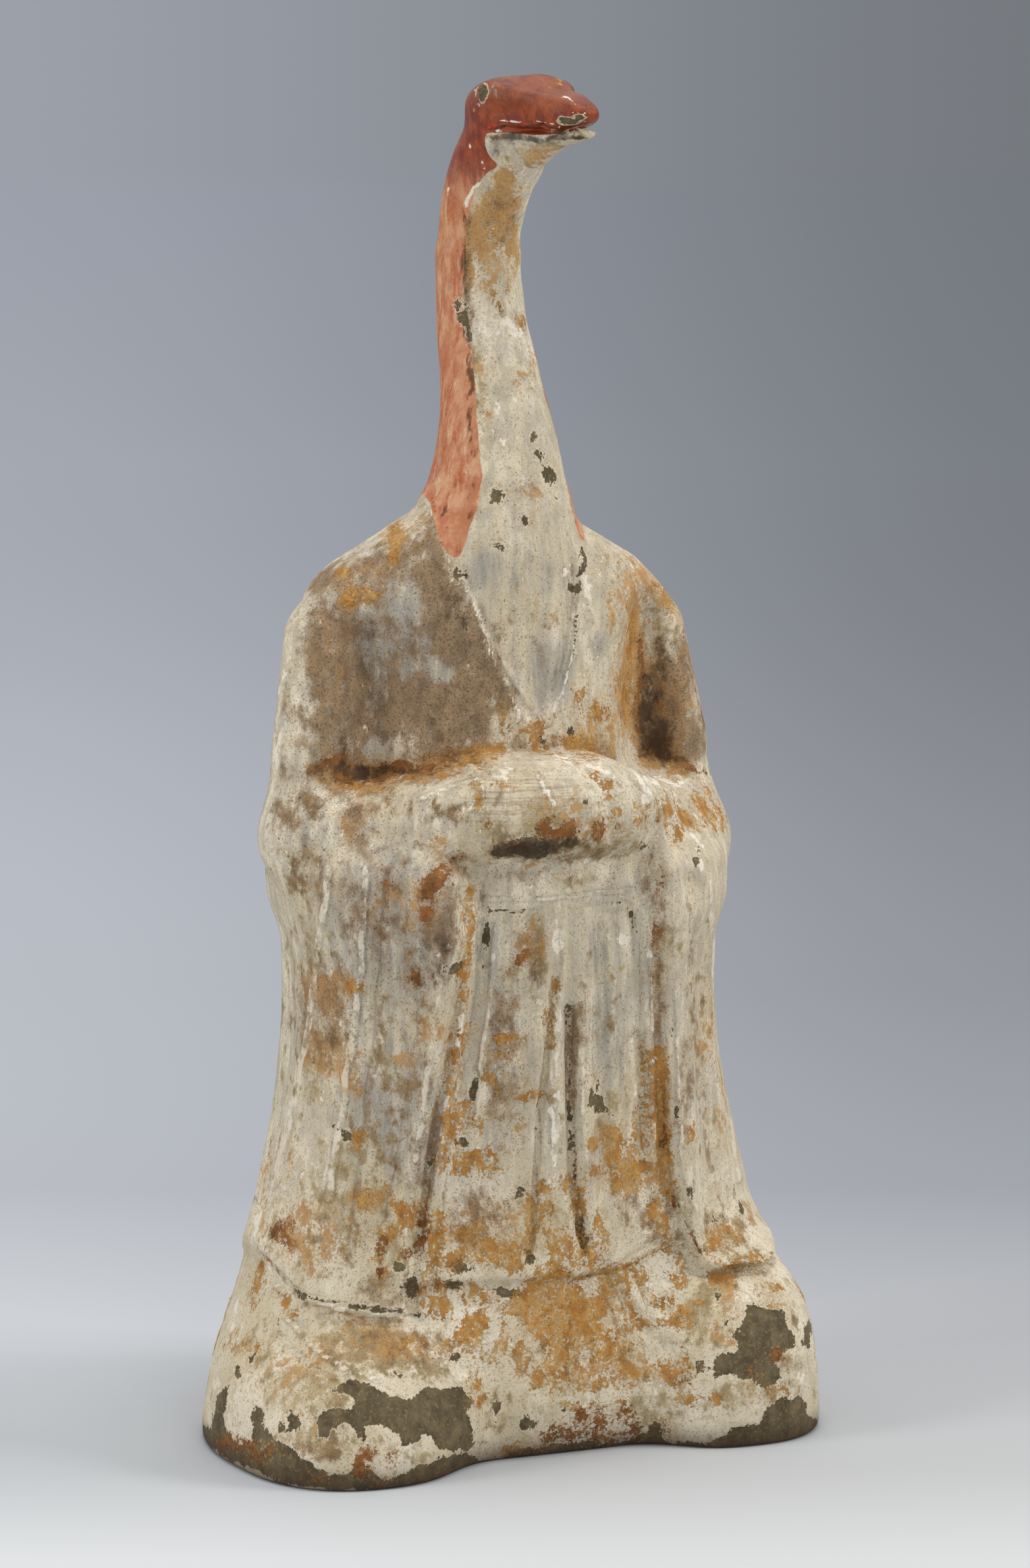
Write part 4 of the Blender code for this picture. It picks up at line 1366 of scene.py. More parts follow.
        (845, 1010, 34, 44, 0, 0.9), (905, 978, 20, 26, 0, 0.8), (790, 1050, 40, 40, 0, 0.6),
        (575, 965, 40, 50, 0, 0.6), (600, 880, 40, 20, 0, 0.6), (480, 1290, 26, 34, 0, 0.6),
        (600, 1340, 60, 60, 0, 0.9), (560, 1380, 50, 60, 0, 0.6), (620, 1440, 70, 90, 0, 0.95),
        (560, 1690, 60, 90, 0, 0.6), (640, 1700, 40, 120, 0, 0.5), (740, 1440, 20, 50, 0, 0.6),
        (760, 1700, 40, 90, 0, 0.7), (835, 1690, 18, 60, 0, 0.6), (930, 1580, 34, 90, 0, 0.6),
        (982, 1470, 9, 60, 0, 0.8), (905, 1760, 30, 50, 0, 0.6), (925, 1350, 44, 22, 0, 0.6),
        (910, 1430, 20, 40, 0, 0.6), (640, 1250, 60, 30, 0, 0.35), (520, 1830, 40, 70, 0, 0.5),
        (620, 1760, 40, 60, 0, 0.6), (850, 800, 40, 40, 0, 0.4), (750, 225, 18, 12, 0, 0.7),
        (770, 216, 36, 6, 0, 0.6), (1000, 1240, 8, 14, 0, 0.6), (1040, 1070, 8, 30, 0, 0.6),
        (740, 790, 16, 30, 0, 0.7), (700, 1100, 50, 40, 0, 0.3), (470, 1120, 14, 40, 0, 0.5),
        (450, 1170, 20, 20, 0, 0.4), (1070, 1420, 16, 90, 0, 0.3), (930, 1380, 30, 16, 0, 0.4),
        (985, 2110, 80, 30, 0, 0.3), (930, 1975, 16, 30, 0, 0.6), (985, 1960, 14, 40, 0, 0.5),
        (720, 2160, 40, 40, 0, 0.3), (460, 2020, 40, 24, 20, 0.35), (1040, 2040, 60, 40, 0, 0.3),
        (752, 138, 8, 13, 10, 0.8), (678, 370, 6, 24, 10, 0.5), (682, 436, 3, 8, 0, 0.6),
        (678, 480, 8, 12, 0, 0.4), (700, 730, 12, 14, 0, 0.4), (668, 700, 6, 24, 0, 0.4),
        (1060, 1660, 16, 60, 0, 0.3), (600, 790, 20, 12, 0, 0.3),
    ),
    Layer.OCHRE: blots(
        (1000, 1140, 50, 26, 10, 0.6), (880, 1262, 90, 22, -4, 0.6), (830, 1232, 70, 14, 0, 0.3),
        (985, 860, 60, 50, 30, 0.5), (930, 1080, 40, 60, 0, 0.4), (1060, 1000, 14, 90, 0, 0.4),
        (545, 900, 40, 24, 10, 0.7), (560, 865, 30, 24, 0, 0.6), (480, 880, 40, 30, 0, 0.35),
        (600, 812, 26, 34, 0, 0.7), (650, 800, 30, 26, 0, 0.6), (540, 955, 18, 26, 0, 0.6),
        (560, 1165, 90, 26, 0, 0.8), (690, 1150, 70, 20, -10, 0.6), (540, 1190, 60, 20, 0, 0.9),
        (960, 1020, 34, 110, 0, 0.8), (1000, 1110, 40, 50, 0, 0.9), (925, 930, 8, 40, 0, 0.8),
        (960, 900, 40, 60, 0, 0.4), (1010, 900, 20, 60, -30, 0.5), (1040, 960, 10, 50, -10, 0.6),
        (890, 1110, 60, 40, 0, 0.35), (1010, 1165, 70, 16, 14, 0.8), (830, 930, 30, 22, 0, 0.35),
        (535, 1262, 24, 26, 0, 0.7), (535, 1226, 40, 12, -10, 0.5), (655, 1278, 34, 18, 0, 0.6),
        (450, 1218, 36, 26, 0, 0.4), (565, 1320, 16, 24, 0, 0.4), (500, 1500, 56, 44, 0, 0.7),
        (500, 1600, 50, 50, 0, 0.8), (540, 1650, 24, 30, 0, 0.7), (650, 1560, 40, 24, 0, 0.6),
        (620, 1610, 28, 18, 0, 0.7), (680, 1600, 14, 50, 0, 0.5), (815, 1430, 30, 50, 0, 0.6),
        (770, 1580, 30, 24, 0, 0.5), (1000, 1480, 14, 160, 0, 0.6), (1002, 1700, 22, 120, 0, 0.8),
        (1070, 1560, 16, 80, 0, 0.5), (1100, 1700, 20, 90, 0, 0.35), (480, 1870, 90, 70, 0, 0.6),
        (560, 1820, 40, 24, 0, 0.6), (430, 1760, 30, 60, 0, 0.4), (790, 1710, 14, 24, 0, 0.7),
        (735, 1830, 40, 34, 0, 0.5), (760, 1880, 90, 50, 0, 0.5), (950, 1790, 50, 40, 0, 0.7),
        (930, 1720, 30, 24, 0, 0.6), (1080, 1880, 30, 30, 0, 0.4), (850, 1990, 120, 60, 0, 0.5),
        (900, 2070, 140, 40, 0, 0.35), (560, 2040, 110, 34, 0, 0.55), (450, 2090, 70, 60, 0, 0.45),
        (370, 2050, 40, 70, 0, 0.35), (1100, 2000, 40, 60, 0, 0.45), (480, 2190, 60, 30, 0, 0.5),
        (1180, 1980, 30, 24, 0, 0.5), (1140, 2110, 70, 30, 0, 0.3), (620, 2050, 60, 26, 0, 0.5),
        (500, 1010, 40, 120, 0, 0.45), (1020, 1060, 44, 90, 0, 0.6), (800, 1290, 60, 14, 0, 0.6),
        (610, 1380, 50, 60, 0, 0.5), (1100, 1560, 24, 120, 0, 0.4), (820, 2200, 90, 12, 0, 0.6),
        (720, 340, 20, 30, 0, 0.9), (745, 320, 26, 40, 0, 0.85), (770, 300, 24, 60, 0, 0.8),
        (708, 400, 12, 40, 0, 0.9), (740, 380, 30, 40, 0, 0.75), (775, 370, 18, 60, 0, 0.7),
        (785, 400, 8, 30, 0, 0.6), (725, 425, 26, 24, 0, 0.5), (755, 420, 20, 20, 0, 0.4),
        (820, 235, 40, 20, -20, 0.6), (770, 270, 30, 18, 0, 0.4), (740, 550, 30, 30, 0, 0.35),
        (810, 560, 14, 40, 0, 0.5), (786, 580, 12, 26, 0, 0.6), (810, 760, 14, 30, 0, 0.4),
        (755, 808, 16, 14, 0, 0.6), (735, 620, 14, 70, 0, 0.4), (672, 330, 10, 60, 0, 0.6),
        (700, 300, 10, 40, 0, 0.5), (668, 390, 8, 40, 0, 0.4), (690, 790, 20, 18, 0, 0.7),
        (850, 1220, 60, 30, 0, 0.3), (1080, 1200, 20, 20, 0, 0.3), (1140, 1830, 20, 60, 0, 0.3),
        (560, 1235, 60, 20, 0, 0.4), (640, 1700, 20, 60, 0, 0.2), (400, 1790, 10, 100, 0, 0.4),
        (852, 123, 14, 8, 20, 0.8), (720, 138, 4, 8, 0, 0.8), (722, 167, 5, 4, 0, 0.8),
        (748, 130, 6, 3, 0, 0.9), (672, 270, 8, 20, 0, 0.6),
    ),
    Layer.OLIVE: blots(
        # Head and neck
        (830, 222, 40, 16, -20, 0.7), (790, 245, 40, 22, 0, 0.6), (880, 205, 24, 6, -12, 0.7),
        (735, 620, 12, 66, 0, 0.6), (725, 560, 8, 60, 0, 0.5), (765, 470, 20, 30, 0, 0.25),
        (810, 720, 50, 60, 0, 0.3), (740, 400, 30, 60, 0, 0.6), (770, 330, 30, 60, 0, 0.6),
        # Chest and shoulders
        (600, 820, 70, 26, 0, 0.5), (520, 900, 60, 60, 0, 0.4), (990, 900, 60, 60, 0, 0.5),
        (1020, 980, 30, 80, 0, 0.5), (980, 1010, 40, 80, 0, 0.4), (430, 1020, 16, 90, 0, 0.3),
        (800, 950, 70, 80, 0, 0.25), (1060, 1120, 14, 60, 0, 0.4),
        # Roll
        (840, 1235, 80, 42, 0, 0.65), (760, 1262, 70, 24, 0, 0.6), (930, 1262, 60, 34, 0, 0.6),
        (700, 1235, 60, 30, 0, 0.45), (900, 1290, 90, 20, 0, 0.7), (600, 1220, 80, 20, 0, 0.4),
        (480, 1230, 60, 50, 0, 0.55), (460, 1330, 60, 60, 0, 0.5), (1020, 1290, 40, 40, 0, 0.3),
        # Sleeve and panel
        (470, 1440, 60, 60, 0, 0.6), (460, 1600, 60, 120, 0, 0.45), (560, 1560, 60, 100, 0, 0.45),
        (600, 1680, 60, 120, 0, 0.55), (520, 1780, 80, 80, 0, 0.6), (480, 1880, 110, 80, 0, 0.55),
        (600, 1880, 60, 70, 0, 0.6), (815, 1440, 26, 70, 0, 0.8), (760, 1540, 40, 80, 0, 0.4),
        (740, 1660, 40, 80, 0, 0.45), (850, 1700, 30, 80, 0, 0.4), (930, 1700, 60, 90, 0, 0.5),
        (920, 1500, 50, 110, 0, 0.35), (880, 1345, 90, 16, 0, 0.45), (1010, 1440, 30, 100, 0, 0.4),
        (1060, 1500, 30, 140, 0, 0.45), (1080, 1720, 40, 120, 0, 0.45), (1110, 1880, 46, 70, 0, 0.7),
        (800, 1840, 80, 50, 0, 0.5), (420, 1780, 20, 140, 0, 0.4), (1000, 1860, 60, 40, 0, 0.5),
        # Base
        (560, 2050, 120, 50, 10, 0.95), (480, 2110, 90, 50, 0, 0.8), (400, 2060, 50, 80, 0, 0.5),
        (480, 2190, 80, 30, 0, 0.8), (620, 2200, 90, 36, 0, 0.6), (660, 2060, 50, 40, 0, 0.6),
        (1080, 2000, 60, 60, 0, 0.85), (1140, 2110, 90, 40, 0, 0.6), (1190, 1990, 40, 60, 0, 0.5),
        (960, 2070, 90, 50, 0, 0.5), (820, 2080, 90, 60, 0, 0.4), (1010, 2140, 90, 30, 0, 0.6),
        (760, 2150, 60, 40, 0, 0.5), (340, 2150, 30, 60, 0, 0.4),
    ),
    # White chalky flecks, and painted highlights: the lit left edge of arm and sleeve, the roll's top, the
    # sleeves' inner edges, the collar's bead, pleat crests, a sheen line on the snout and lit places on the
    # foot.
    Layer.CHALK: blots(
        (800, 1152, 60, 6, 0, 0.9), (870, 1158, 50, 5, 10, 0.9), (760, 1170, 30, 10, -20, 0.6),
        (1000, 1185, 60, 8, 12, 0.8), (1060, 1300, 14, 40, 0, 0.6), (985, 1215, 8, 18, -20, 0.6),
        (750, 1215, 40, 14, 0, 0.4), (650, 1210, 50, 10, -10, 0.5), (430, 1000, 16, 60, 0, 0.5),
        (420, 1120, 16, 60, 0, 0.5), (415, 1240, 12, 40, 0, 0.5), (880, 900, 30, 60, 0, 0.5),
        (900, 870, 14, 30, 0, 0.4), (780, 500, 30, 30, 0, 0.6), (735, 500, 14, 24, 0, 0.7),
        (770, 620, 40, 60, 0, 0.35), (800, 680, 40, 50, 0, 0.25), (950, 1430, 16, 20, 0, 0.65),
        (960, 1560, 6, 30, 0, 0.6), (965, 1670, 5, 30, 0, 0.5), (880, 1310, 70, 8, -4, 0.5),
        (770, 1345, 50, 20, 0, 0.4), (700, 1990, 40, 24, 0, 0.5), (560, 2085, 60, 8, 18, 0.5),
        (700, 2085, 50, 10, 0, 0.5), (760, 2050, 26, 40, 0, 0.5), (1000, 1945, 60, 16, -10, 0.5),
        (390, 1850, 8, 60, 10, 0.6), (360, 2000, 14, 60, 12, 0.5), (330, 2110, 8, 40, 16, 0.5),
        (1130, 1960, 30, 16, 30, 0.4), (1215, 2080, 12, 50, 0, 0.5), (1100, 1850, 24, 30, 0, 0.3),
        (770, 184, 30, 1.6, 0, 0.7), (825, 187, 20, 1.6, 10, 0.7), (838, 200, 14, 3, 0, 0.5),
        (848, 192, 3, 8, 0, 0.8), (742, 187, 4, 3, 0, 0.7), (757, 196, 3, 5, 0, 0.6),
        (802, 152, 8, 6, 0, 0.4), (778, 150, 10, 5, 20, 0.3), (714, 300, 2.5, 17, 16, 1.0),
        (724, 283, 3, 7, 40, 0.9), (866, 164, 3, 2, 0, 0.6), (876, 163, 3, 2, 0, 0.6),
        (889, 172, 4, 2.4, 0, 0.8), (885, 160, 3, 2, 0, 0.6), (893, 155, 6, 2, 20, 0.4),
        (715, 225, 2.5, 6, -25, 1), (734, 245, 2.5, 6, -35, 1), (738, 257, 3, 2, 0, 1),
        (711, 255, 3, 4, 0, 0.8), (750, 256, 2, 2, 0, 0.9), (680, 285, 1.6, 14, 0, 0.9),
        (888, 208, 10, 3, 0, 0.6), (897, 200, 3, 6, 0, 0.8),
    ) + trails(
        (3.4, 0.95, (817, 1177), (828, 1202), (840, 1222)),
        (3, 0.8, (768, 1172), (776, 1196)),
        (3, 0.8, (735, 1196), (722, 1215), (714, 1232)),
        (3.4, 0.8, (905, 1168), (925, 1180), (950, 1192)),
        (3, 0.8, (888, 1210), (893, 1235)),
        (3, 0.7, (970, 1180), (990, 1206), (1000, 1222)),
        (2.6, 0.9, (873, 985), (866, 1005), (852, 1058)),
        (2, 0.9, (770, 1052), (782, 1070), (792, 1095)),
        (2, 0.9, (686, 875), (712, 905), (735, 955), (752, 1010)),
        (1.8, 0.9, (714, 1340), (716, 1390), (711, 1440), (704, 1480)),
        (1.8, 0.9, (703, 1540), (690, 1600), (680, 1680), (668, 1790), (655, 1900)),
        (2.4, 0.6, (395, 1880), (405, 1920), (430, 1958), (470, 1980), (560, 1996), (640, 2004)),
        (2.4, 0.7, (935, 1930), (945, 1965), (952, 2000)),
        (1.4, 0.55, (848, 140), (862, 148), (872, 160)),
        (8, 0.55, (850, 1400), (846, 1560), (838, 1800)),
        (7, 0.5, (986, 1400), (990, 1560), (991, 1740)),
        (1.2, 0.9, (722, 150), (719, 138), (723, 126), (732, 120), (741, 119)),
        (1.0, 0.8, (725, 152), (732, 159), (738, 158)),
        (1.2, 0.9, (845, 172), (849, 183), (856, 190)),
        (1.2, 0.9, (866, 171), (873, 169), (884, 172), (888, 180)),
    ),
    Layer.BRUSHED: blots(
        (800, 1210, 100, 50, 0, 1.0), (900, 1270, 90, 30, 0, 0.6), (740, 1230, 40, 30, 0, 0.6),
        (540, 2030, 60, 24, 0, 0.4),
    ),
    Layer.PITTED: blots(
        (455, 1275, 50, 80, 0, 1.0), (450, 1215, 36, 26, 0, 0.8), (480, 1330, 40, 60, 0, 0.6),
        (430, 1400, 24, 60, 0, 0.5), (600, 1000, 140, 130, 0, 0.5), (700, 1000, 70, 110, 0, 0.6),
        (800, 850, 90, 90, 0, 0.35), (790, 700, 60, 100, 0, 0.4), (640, 870, 60, 60, 0, 0.4),
        (500, 1150, 60, 60, 0, 0.3), (560, 1260, 60, 60, 0, 0.3), (780, 550, 40, 60, 0, 0.25),
        (850, 1340, 120, 30, 0, 0.25), (620, 1950, 40, 40, 0, 0.5),
    ),
}

# Ridges and grooves too fine for the solid: half width in pixels, height in parts and the line.
CREASES = (
    # Collar and lapels
    (5, 0.5, (698, 876), (711, 905), (725, 945), (738, 980), (752, 1015), (768, 1045), (790, 1090)),
    (6, -0.6, (708, 870), (722, 905), (737, 945), (750, 980), (765, 1015), (779, 1042), (801, 1080)),
    (6, 0.5, (884, 850), (880, 900), (872, 960), (868, 1000), (850, 1058), (830, 1100)),
    (7, -0.5, (871, 850), (867, 900), (859, 960), (853, 1000), (838, 1050)),
    # Inner edge of the right sleeve
    (6, 0.7, (714, 1335), (716, 1430), (707, 1480), (697, 1560), (684, 1640), (669, 1700), (661, 1800),
     (653, 1850), (648, 1900), (642, 1950), (636, 1990)),
    (7, -0.6, (729, 1345), (730, 1430), (721, 1480), (711, 1560), (698, 1640), (684, 1700), (675, 1800),
     (667, 1850), (662, 1900), (656, 1950)),
    (8, -0.4, (700, 1350), (701, 1430), (693, 1480), (683, 1560), (670, 1640), (655, 1700), (646, 1800),
     (638, 1850), (632, 1900)),
    # Pleats and sunk fields of the panel
    (5, -0.7, (843, 1488), (836, 1570), (822, 1670), (813, 1790), (810, 1890)),
    (6, 0.4, (856, 1400), (853, 1500), (846, 1600), (838, 1700), (836, 1800)),
    (6, -1.1, (864, 1528), (866, 1650), (870, 1790), (885, 1880)),
    (7, 0.4, (882, 1560), (886, 1680), (892, 1790)),
    (10, -0.8, (1005, 1340), (1003, 1500), (1006, 1620), (1010, 1760), (1022, 1825), (1056, 1905)),
    (5, -0.4, (975, 1600), (975, 1730)),
    (7, 0.5, (1026, 1500), (1030, 1650), (1037, 1780), (1066, 1870)),
    (7, 0.45, (988, 1400), (990, 1600), (992, 1740)),
    (5, -0.6, (740, 1385), (817, 1385)),
    (5, -0.6, (890, 1375), (955, 1372), (964, 1420), (972, 1500), (976, 1600)),
    (7, 0.45, (735, 1365), (820, 1366), (960, 1350)),
    (8, 0.5, (752, 1410), (745, 1500), (732, 1600), (722, 1700)),
    # Folds of the sleeves
    (13, 0.5, (500, 1320), (492, 1400), (470, 1560), (440, 1700), (418, 1800)),
    (13, -0.5, (590, 1330), (585, 1450), (570, 1600), (545, 1800), (535, 1920)),
    (12, 0.5, (558, 1320), (548, 1480), (525, 1650), (500, 1820)),
    (11, -0.5, (650, 1400), (640, 1550), (615, 1700), (590, 1850)),
    (11, 0.45, (672, 1460), (655, 1600), (630, 1760)),
    (10, -0.6, (1050, 1330), (1052, 1500), (1064, 1650), (1085, 1780)),
    (10, 0.5, (1075, 1330), (1080, 1500), (1096, 1650), (1120, 1790)),
    (9, -0.4, (1100, 1400), (1115, 1600), (1140, 1750)),
    # Hems, and the folds that spread under them
    (6, -0.7, (395, 1905), (440, 1957), (500, 1977), (560, 1988), (640, 2004)),
    (6, -0.7, (868, 1948), (920, 1934), (960, 1924), (1025, 1884)),
    (6, -0.6, (1040, 1927), (1075, 1937), (1120, 1927), (1165, 1907)),
    (7, -0.5, (905, 1950), (925, 1990), (935, 2030)),
    (6, 0.4, (930, 1945), (948, 1985), (956, 2010)),
    (6, -0.4, (960, 1930), (975, 1965), (985, 1995)),
    (9, 0.5, (436, 2001), (480, 2050), (530, 2080), (576, 2096)),
    (9, -0.4, (420, 2022), (470, 2074), (540, 2108)),
    # Folds over the roll
    (5, 0.4, (817, 1177), (828, 1202), (840, 1222)),
    (6, 0.4, (735, 1196), (722, 1215), (714, 1232)),
    (6, 0.4, (905, 1168), (925, 1180), (950, 1192)),
    (5, 0.3, (888, 1205), (893, 1235)),
    (8, -0.5, (700, 1180), (735, 1170), (765, 1195), (750, 1225)),
    (8, 0.4, (960, 1180), (990, 1206), (1003, 1225)),
    (9, 0.5, (640, 1215), (690, 1195), (730, 1180)),
    (9, -0.5, (650, 1250), (700, 1225), (740, 1215)),
)

# How wide the crest of a ridge or the bottom of a groove is, as a share of it.
CREST = 0.5


def crests(sign: int) -> tuple[Trail, ...]:
    """Makes the fine lines along creases.

    Args:
        sign: 1 for the crests of the ridges and -1 for the bottoms of the grooves.

    Returns:
        A trail for each.
    """
    return tuple(
        Trail(CREST * half, 1, tuple(line)) for half, height, *line in CREASES if sign * height > 0
    )


MARKS[Layer.RIDGE] = crests(1)
MARKS[Layer.GROOVE] = crests(-1)

# Single small holes: middle across and down the photograph, half width and depth in parts.
HOLES = (
    (893.6, 165, 2.0, 0.9), (767, 194, 4.2, 1.2), (822, 191, 4.2, 1.2), (832, 1288, 4.6, 1.0),
    (496, 1335, 1.6, 0.6), (471, 1044, 2.4, 0.6), (391, 2142, 4.5, 0.5), (688, 2105, 3.0, 0.3),
    (606, 2177, 3.0, 0.3), (697, 436, 1.6, 0.4), (635, 1804, 3.0, 0.3), (737, 195, 2.2, 0.4),
    (1172, 2075, 2.6, 0.4), (418, 1276, 7.0, 0.5), (401, 1336, 4.0, 0.4), (747, 196, 2.0, 0.5),
)


@dataclass(frozen=True)
class FarFilm:
    """A soft layer where the photograph doesn't show the skin: strength and how it is broken up.

    Its lumps have a size in parts, a stretch upright and a seed, and it rises between two values.
    """

    strength: float
    size: float
    seed: int
    between: Point
    upright: float = 1


# The layers that the hidden sides have as films. Those left out of here and of hidden have none.
FAR_FILMS = {
    Layer.GRIME: FarFilm(0.35, 18.0, 25, (-0.2, 0.6)),
    Layer.OLIVE: FarFilm(0.7, 19.0, 29, (-0.2, 0.6)),
    Layer.WASH: FarFilm(0.7, 14.0, 26, (-0.1, 0.6), 0.4),
    Layer.OCHRE: FarFilm(0.7, 17.0, 27, (-0.1, 0.6), 0.5),
    Layer.CHALK: FarFilm(0.5, 20.0, 28, (0.1, 0.7)),
}

# How far the outlines of the marks wander in parts: of the pigment, other crisp layers, soft ones.
PAINT_WANDERS = 0.12
CRISP_WANDERS = 0.4
SOFT_WANDERS = 0.5

# How wide the fillet between the marks of a crisp layer is, in parts.
MARKS_JOIN = 0.35

# The neck's red where it isn't seen: the neck's middle front to back by height, the lowest red in
# parts, and how far round from the front in degrees there is none.
NECK_MIDDLE = ((180, 222, 250, 262), (6, 7.2, 16, 16.4))
RED_LOWEST = 204
RED_AROUND = 62

# Heights in parts between which the relief fades out on the head, and the hollows' film and painted shade
# and the ridges' painted highlight below it.
RELIEF_FADES = (262, 275)
FILM_FADES = (258, 270)

# How deep the slip is that flaked off the bare clay, in parts.
SLIP_DEEP = 0.16


@dataclass(frozen=True)
class Surface:
    """The skin's marks and finer relief, over a form and placed in a view."""

    form: Form
    view: View

    def picture(self, p: Array, ragged: float) -> tuple[Array, Array]:
        """Finds points in the photograph, with the marks' outlines shaken.

        Args:
            p: Points, in parts.
            ragged: How far the outlines wander, in parts.

        Returns:
            Places across and down the frame, in pixels.
        """
        px, py = self.view.project(p)
        wander = ragged / self.view.pixel
        px = px + wander * (lumps(p, 5.0, 11) + 0.6 * lumps(p, 2.2, 12))
        py = py + wander * (lumps(p, 5.0, 13) + 0.6 * lumps(p, 2.2, 14))
        return px, py

    def shown(self, layer: Layer, p: Array) -> Array:
        """Reads a layer's marks where the camera sees the skin.

        Args:
            layer: The layer.
            p: Points, in parts.

        Returns:
            Distance from the edge in parts for a crisp layer, and strength for the others.
        """
        if layer in CRISP:
            painted = layer in (Layer.PAINT, Layer.RAW)
            px, py = self.picture(p, PAINT_WANDERS if painted else CRISP_WANDERS)
            total = np.full(len(p), FAR)
            for mark in MARKS[layer]:
                total = soft_union(total, mark.gap(px, py) * self.view.pixel, MARKS_JOIN)
            return np.clip(total, -FAR, FAR)
        px, py = self.picture(p, SOFT_WANDERS)
        left = np.ones(len(p))
        for mark in MARKS[layer]:
            left = left * (1 - np.clip(mark.weight(px, py), 0, 1))
        return 1 - left

    def hidden(self, layer: Layer, p: Array) -> Array:
        """Makes plainer marks for the sides that the photograph doesn't show.

        Args:
            layer: The layer.
            p: Points, in parts.

        Returns:
            Values of the same kind as those that show.
        """
        z = p[:, 2]
        big, small = lumps(p, 22.0, 21), lumps(p, 8.0, 22)
        low = 1 - ease(z, 4, 70)
        if layer is Layer.PAINT:
            q = self.form.head.own(p)
            middle = np.where(z > 255, 16.4, profile(z, *NECK_MIDDLE))
            around = np.degrees(np.arctan2(np.abs(p[:, 0]), middle - p[:, 1]))
            neck = np.maximum(RED_LOWEST + 3 * big - z, (RED_AROUND - around) * 0.12)
            chin = -self.form.head.mouth_drop - 1 - q[:, 2]
            return np.clip(np.where(z > 270, np.minimum(chin, q[:, 1]), neck), -FAR, FAR)
        if layer is Layer.BARE:
            return np.clip(np.minimum(6.5 - 5 * big - 4 * small - 5 * low, z - 2.5 - 2 * small), -FAR, FAR)
        if layer is Layer.SOIL:
            return np.clip(5.5 + 5 * lumps(p, 16.0, 23) + 4 * lumps(p, 6.0, 24) - 2.5 * low, -FAR, FAR)
        if layer in FAR_FILMS:
            film = FAR_FILMS[layer]
            return film.strength * ease(lumps(p * (1, 1, film.upright), film.size, film.seed), *film.between)
        return np.full(len(p), FAR if layer in CRISP else 0.0)

    def read(self, p: Array, normals: Array) -> dict[Layer, Array]:
        """Reads every layer over the skin.

        Args:
            p: Points, in parts.
            normals: The skin's normals.

        Returns:
            A value for each point, by layer.
        """
        seen = ease(self.view.facing(p, normals), 0.0, 0.18)
        found = {}
        for layer in Layer:
            found[layer] = self.hidden(layer, p) * (1 - seen) + self.shown(layer, p) * seen
        # Films thicken in hollows and chalk gathers on ridges: partly dirt and worn slip, partly painted
        # shade in the hollows and painted highlight on the ridges.
        below = 1 - ease(p[:, 2], *FILM_FADES)
        hollow = self.hollow(p, normals) * below
        ridge = self.hollow(p, -normals) * below
        for layer, share in ((Layer.GRIME, 0.6), (Layer.OCHRE, 0.45), (Layer.OLIVE, 0.4)):
            found[layer] = np.clip(found[layer] + share * (hollow - 0.5 * ridge), 0, 1)
        found[Layer.CHALK] = np.clip(found[Layer.CHALK] + 0.3 * (ridge - hollow), 0, 1)
        return found

    def hollow(self, p: Array, outward: Array, reach: float = 2.5) -> Array:
        """How far the skin closes in round each point, from 0 to 1.

        Args:
            p: Points, in parts.
            outward: The direction to look in.
            reach: How far to look, in parts.

        Returns:
            0 on a flat or raised place and 1 in a tight groove; with inward directions, ridges.
        """
        found = np.zeros(len(p))
        for step in (0.5 * reach, reach, 2.4 * reach):
            clear = np.abs(self.form.distance(p + outward * step))
            found = found + (1 - ease(clear / step, 0.55, 0.98)) / 3
        return found

    def relief(self, p: Array, layers: dict[Layer, Array], facing: Array) -> Array:
        """Height of the finer relief over the form.

        Args:
            p: Points, in parts.
            layers: The layers' values.
            facing: How squarely the skin faces the camera.

        Returns:
            A height for each point, in parts.
        """
        head = ease(p[:, 2], *RELIEF_FADES)
        h = (0.20 * lumps(p, 13.0, 31) + 0.12 * lumps(p, 6.0, 32)) * (1 - 0.7 * head)
        h = h + 0.05 * lumps(p, 2.4, 33) * (1 - 0.5 * head)
        h = h - SLIP_DEEP * (1 - ease(layers[Layer.BARE], -0.5, 0.4))
        for layer, thick, rough, seed in ((Layer.SOIL, 0.16, 0.14, 34), (Layer.RUST, 0.12, 0.10, 35)):
            h = h + (thick + rough * lumps(p, 1.7, seed)) * (1 - ease(layers[layer], -0.9, 0.4))
        h = h + layers[Layer.PITTED] * 0.22 * np.minimum(lumps(p, 1.8, 36), 0.1)
        px, py = self.view.project(p)
        for half, height, *line in CREASES:
            near = 1 - ease(line_gap(px, py, line), 0, 1.8 * half)
            h = h + height * near * ease(facing, 0.0, 0.2)
        for x, y, wide, deep in HOLES:
            h = h - deep * np.exp(-((px - x) ** 2 + (py - y) ** 2) / (0.7 * wide**2)) * (facing > 0)
        return h


@dataclass(frozen=True)
class Finish:
    """A finish: its lighter and darker colour as seen, out of 255, and its roughness."""

    light: Point
    dark: Point
    rough: float


SLIP = Finish((224, 213, 190), (202, 188, 158), 0.78)
WORN_SLIP = Finish((190, 174, 142), (170, 153, 120), 0.82)
WASHED = Finish((164, 159, 151), (128, 125, 119), 0.84)
VEIL = Finish((184, 175, 159), (150, 142, 126), 0.84)
OLIVE_FILM = Finish((172, 154, 114), (138, 119, 80), 0.84)
STAIN = Finish((196, 154, 94), (160, 114, 58), 0.84)
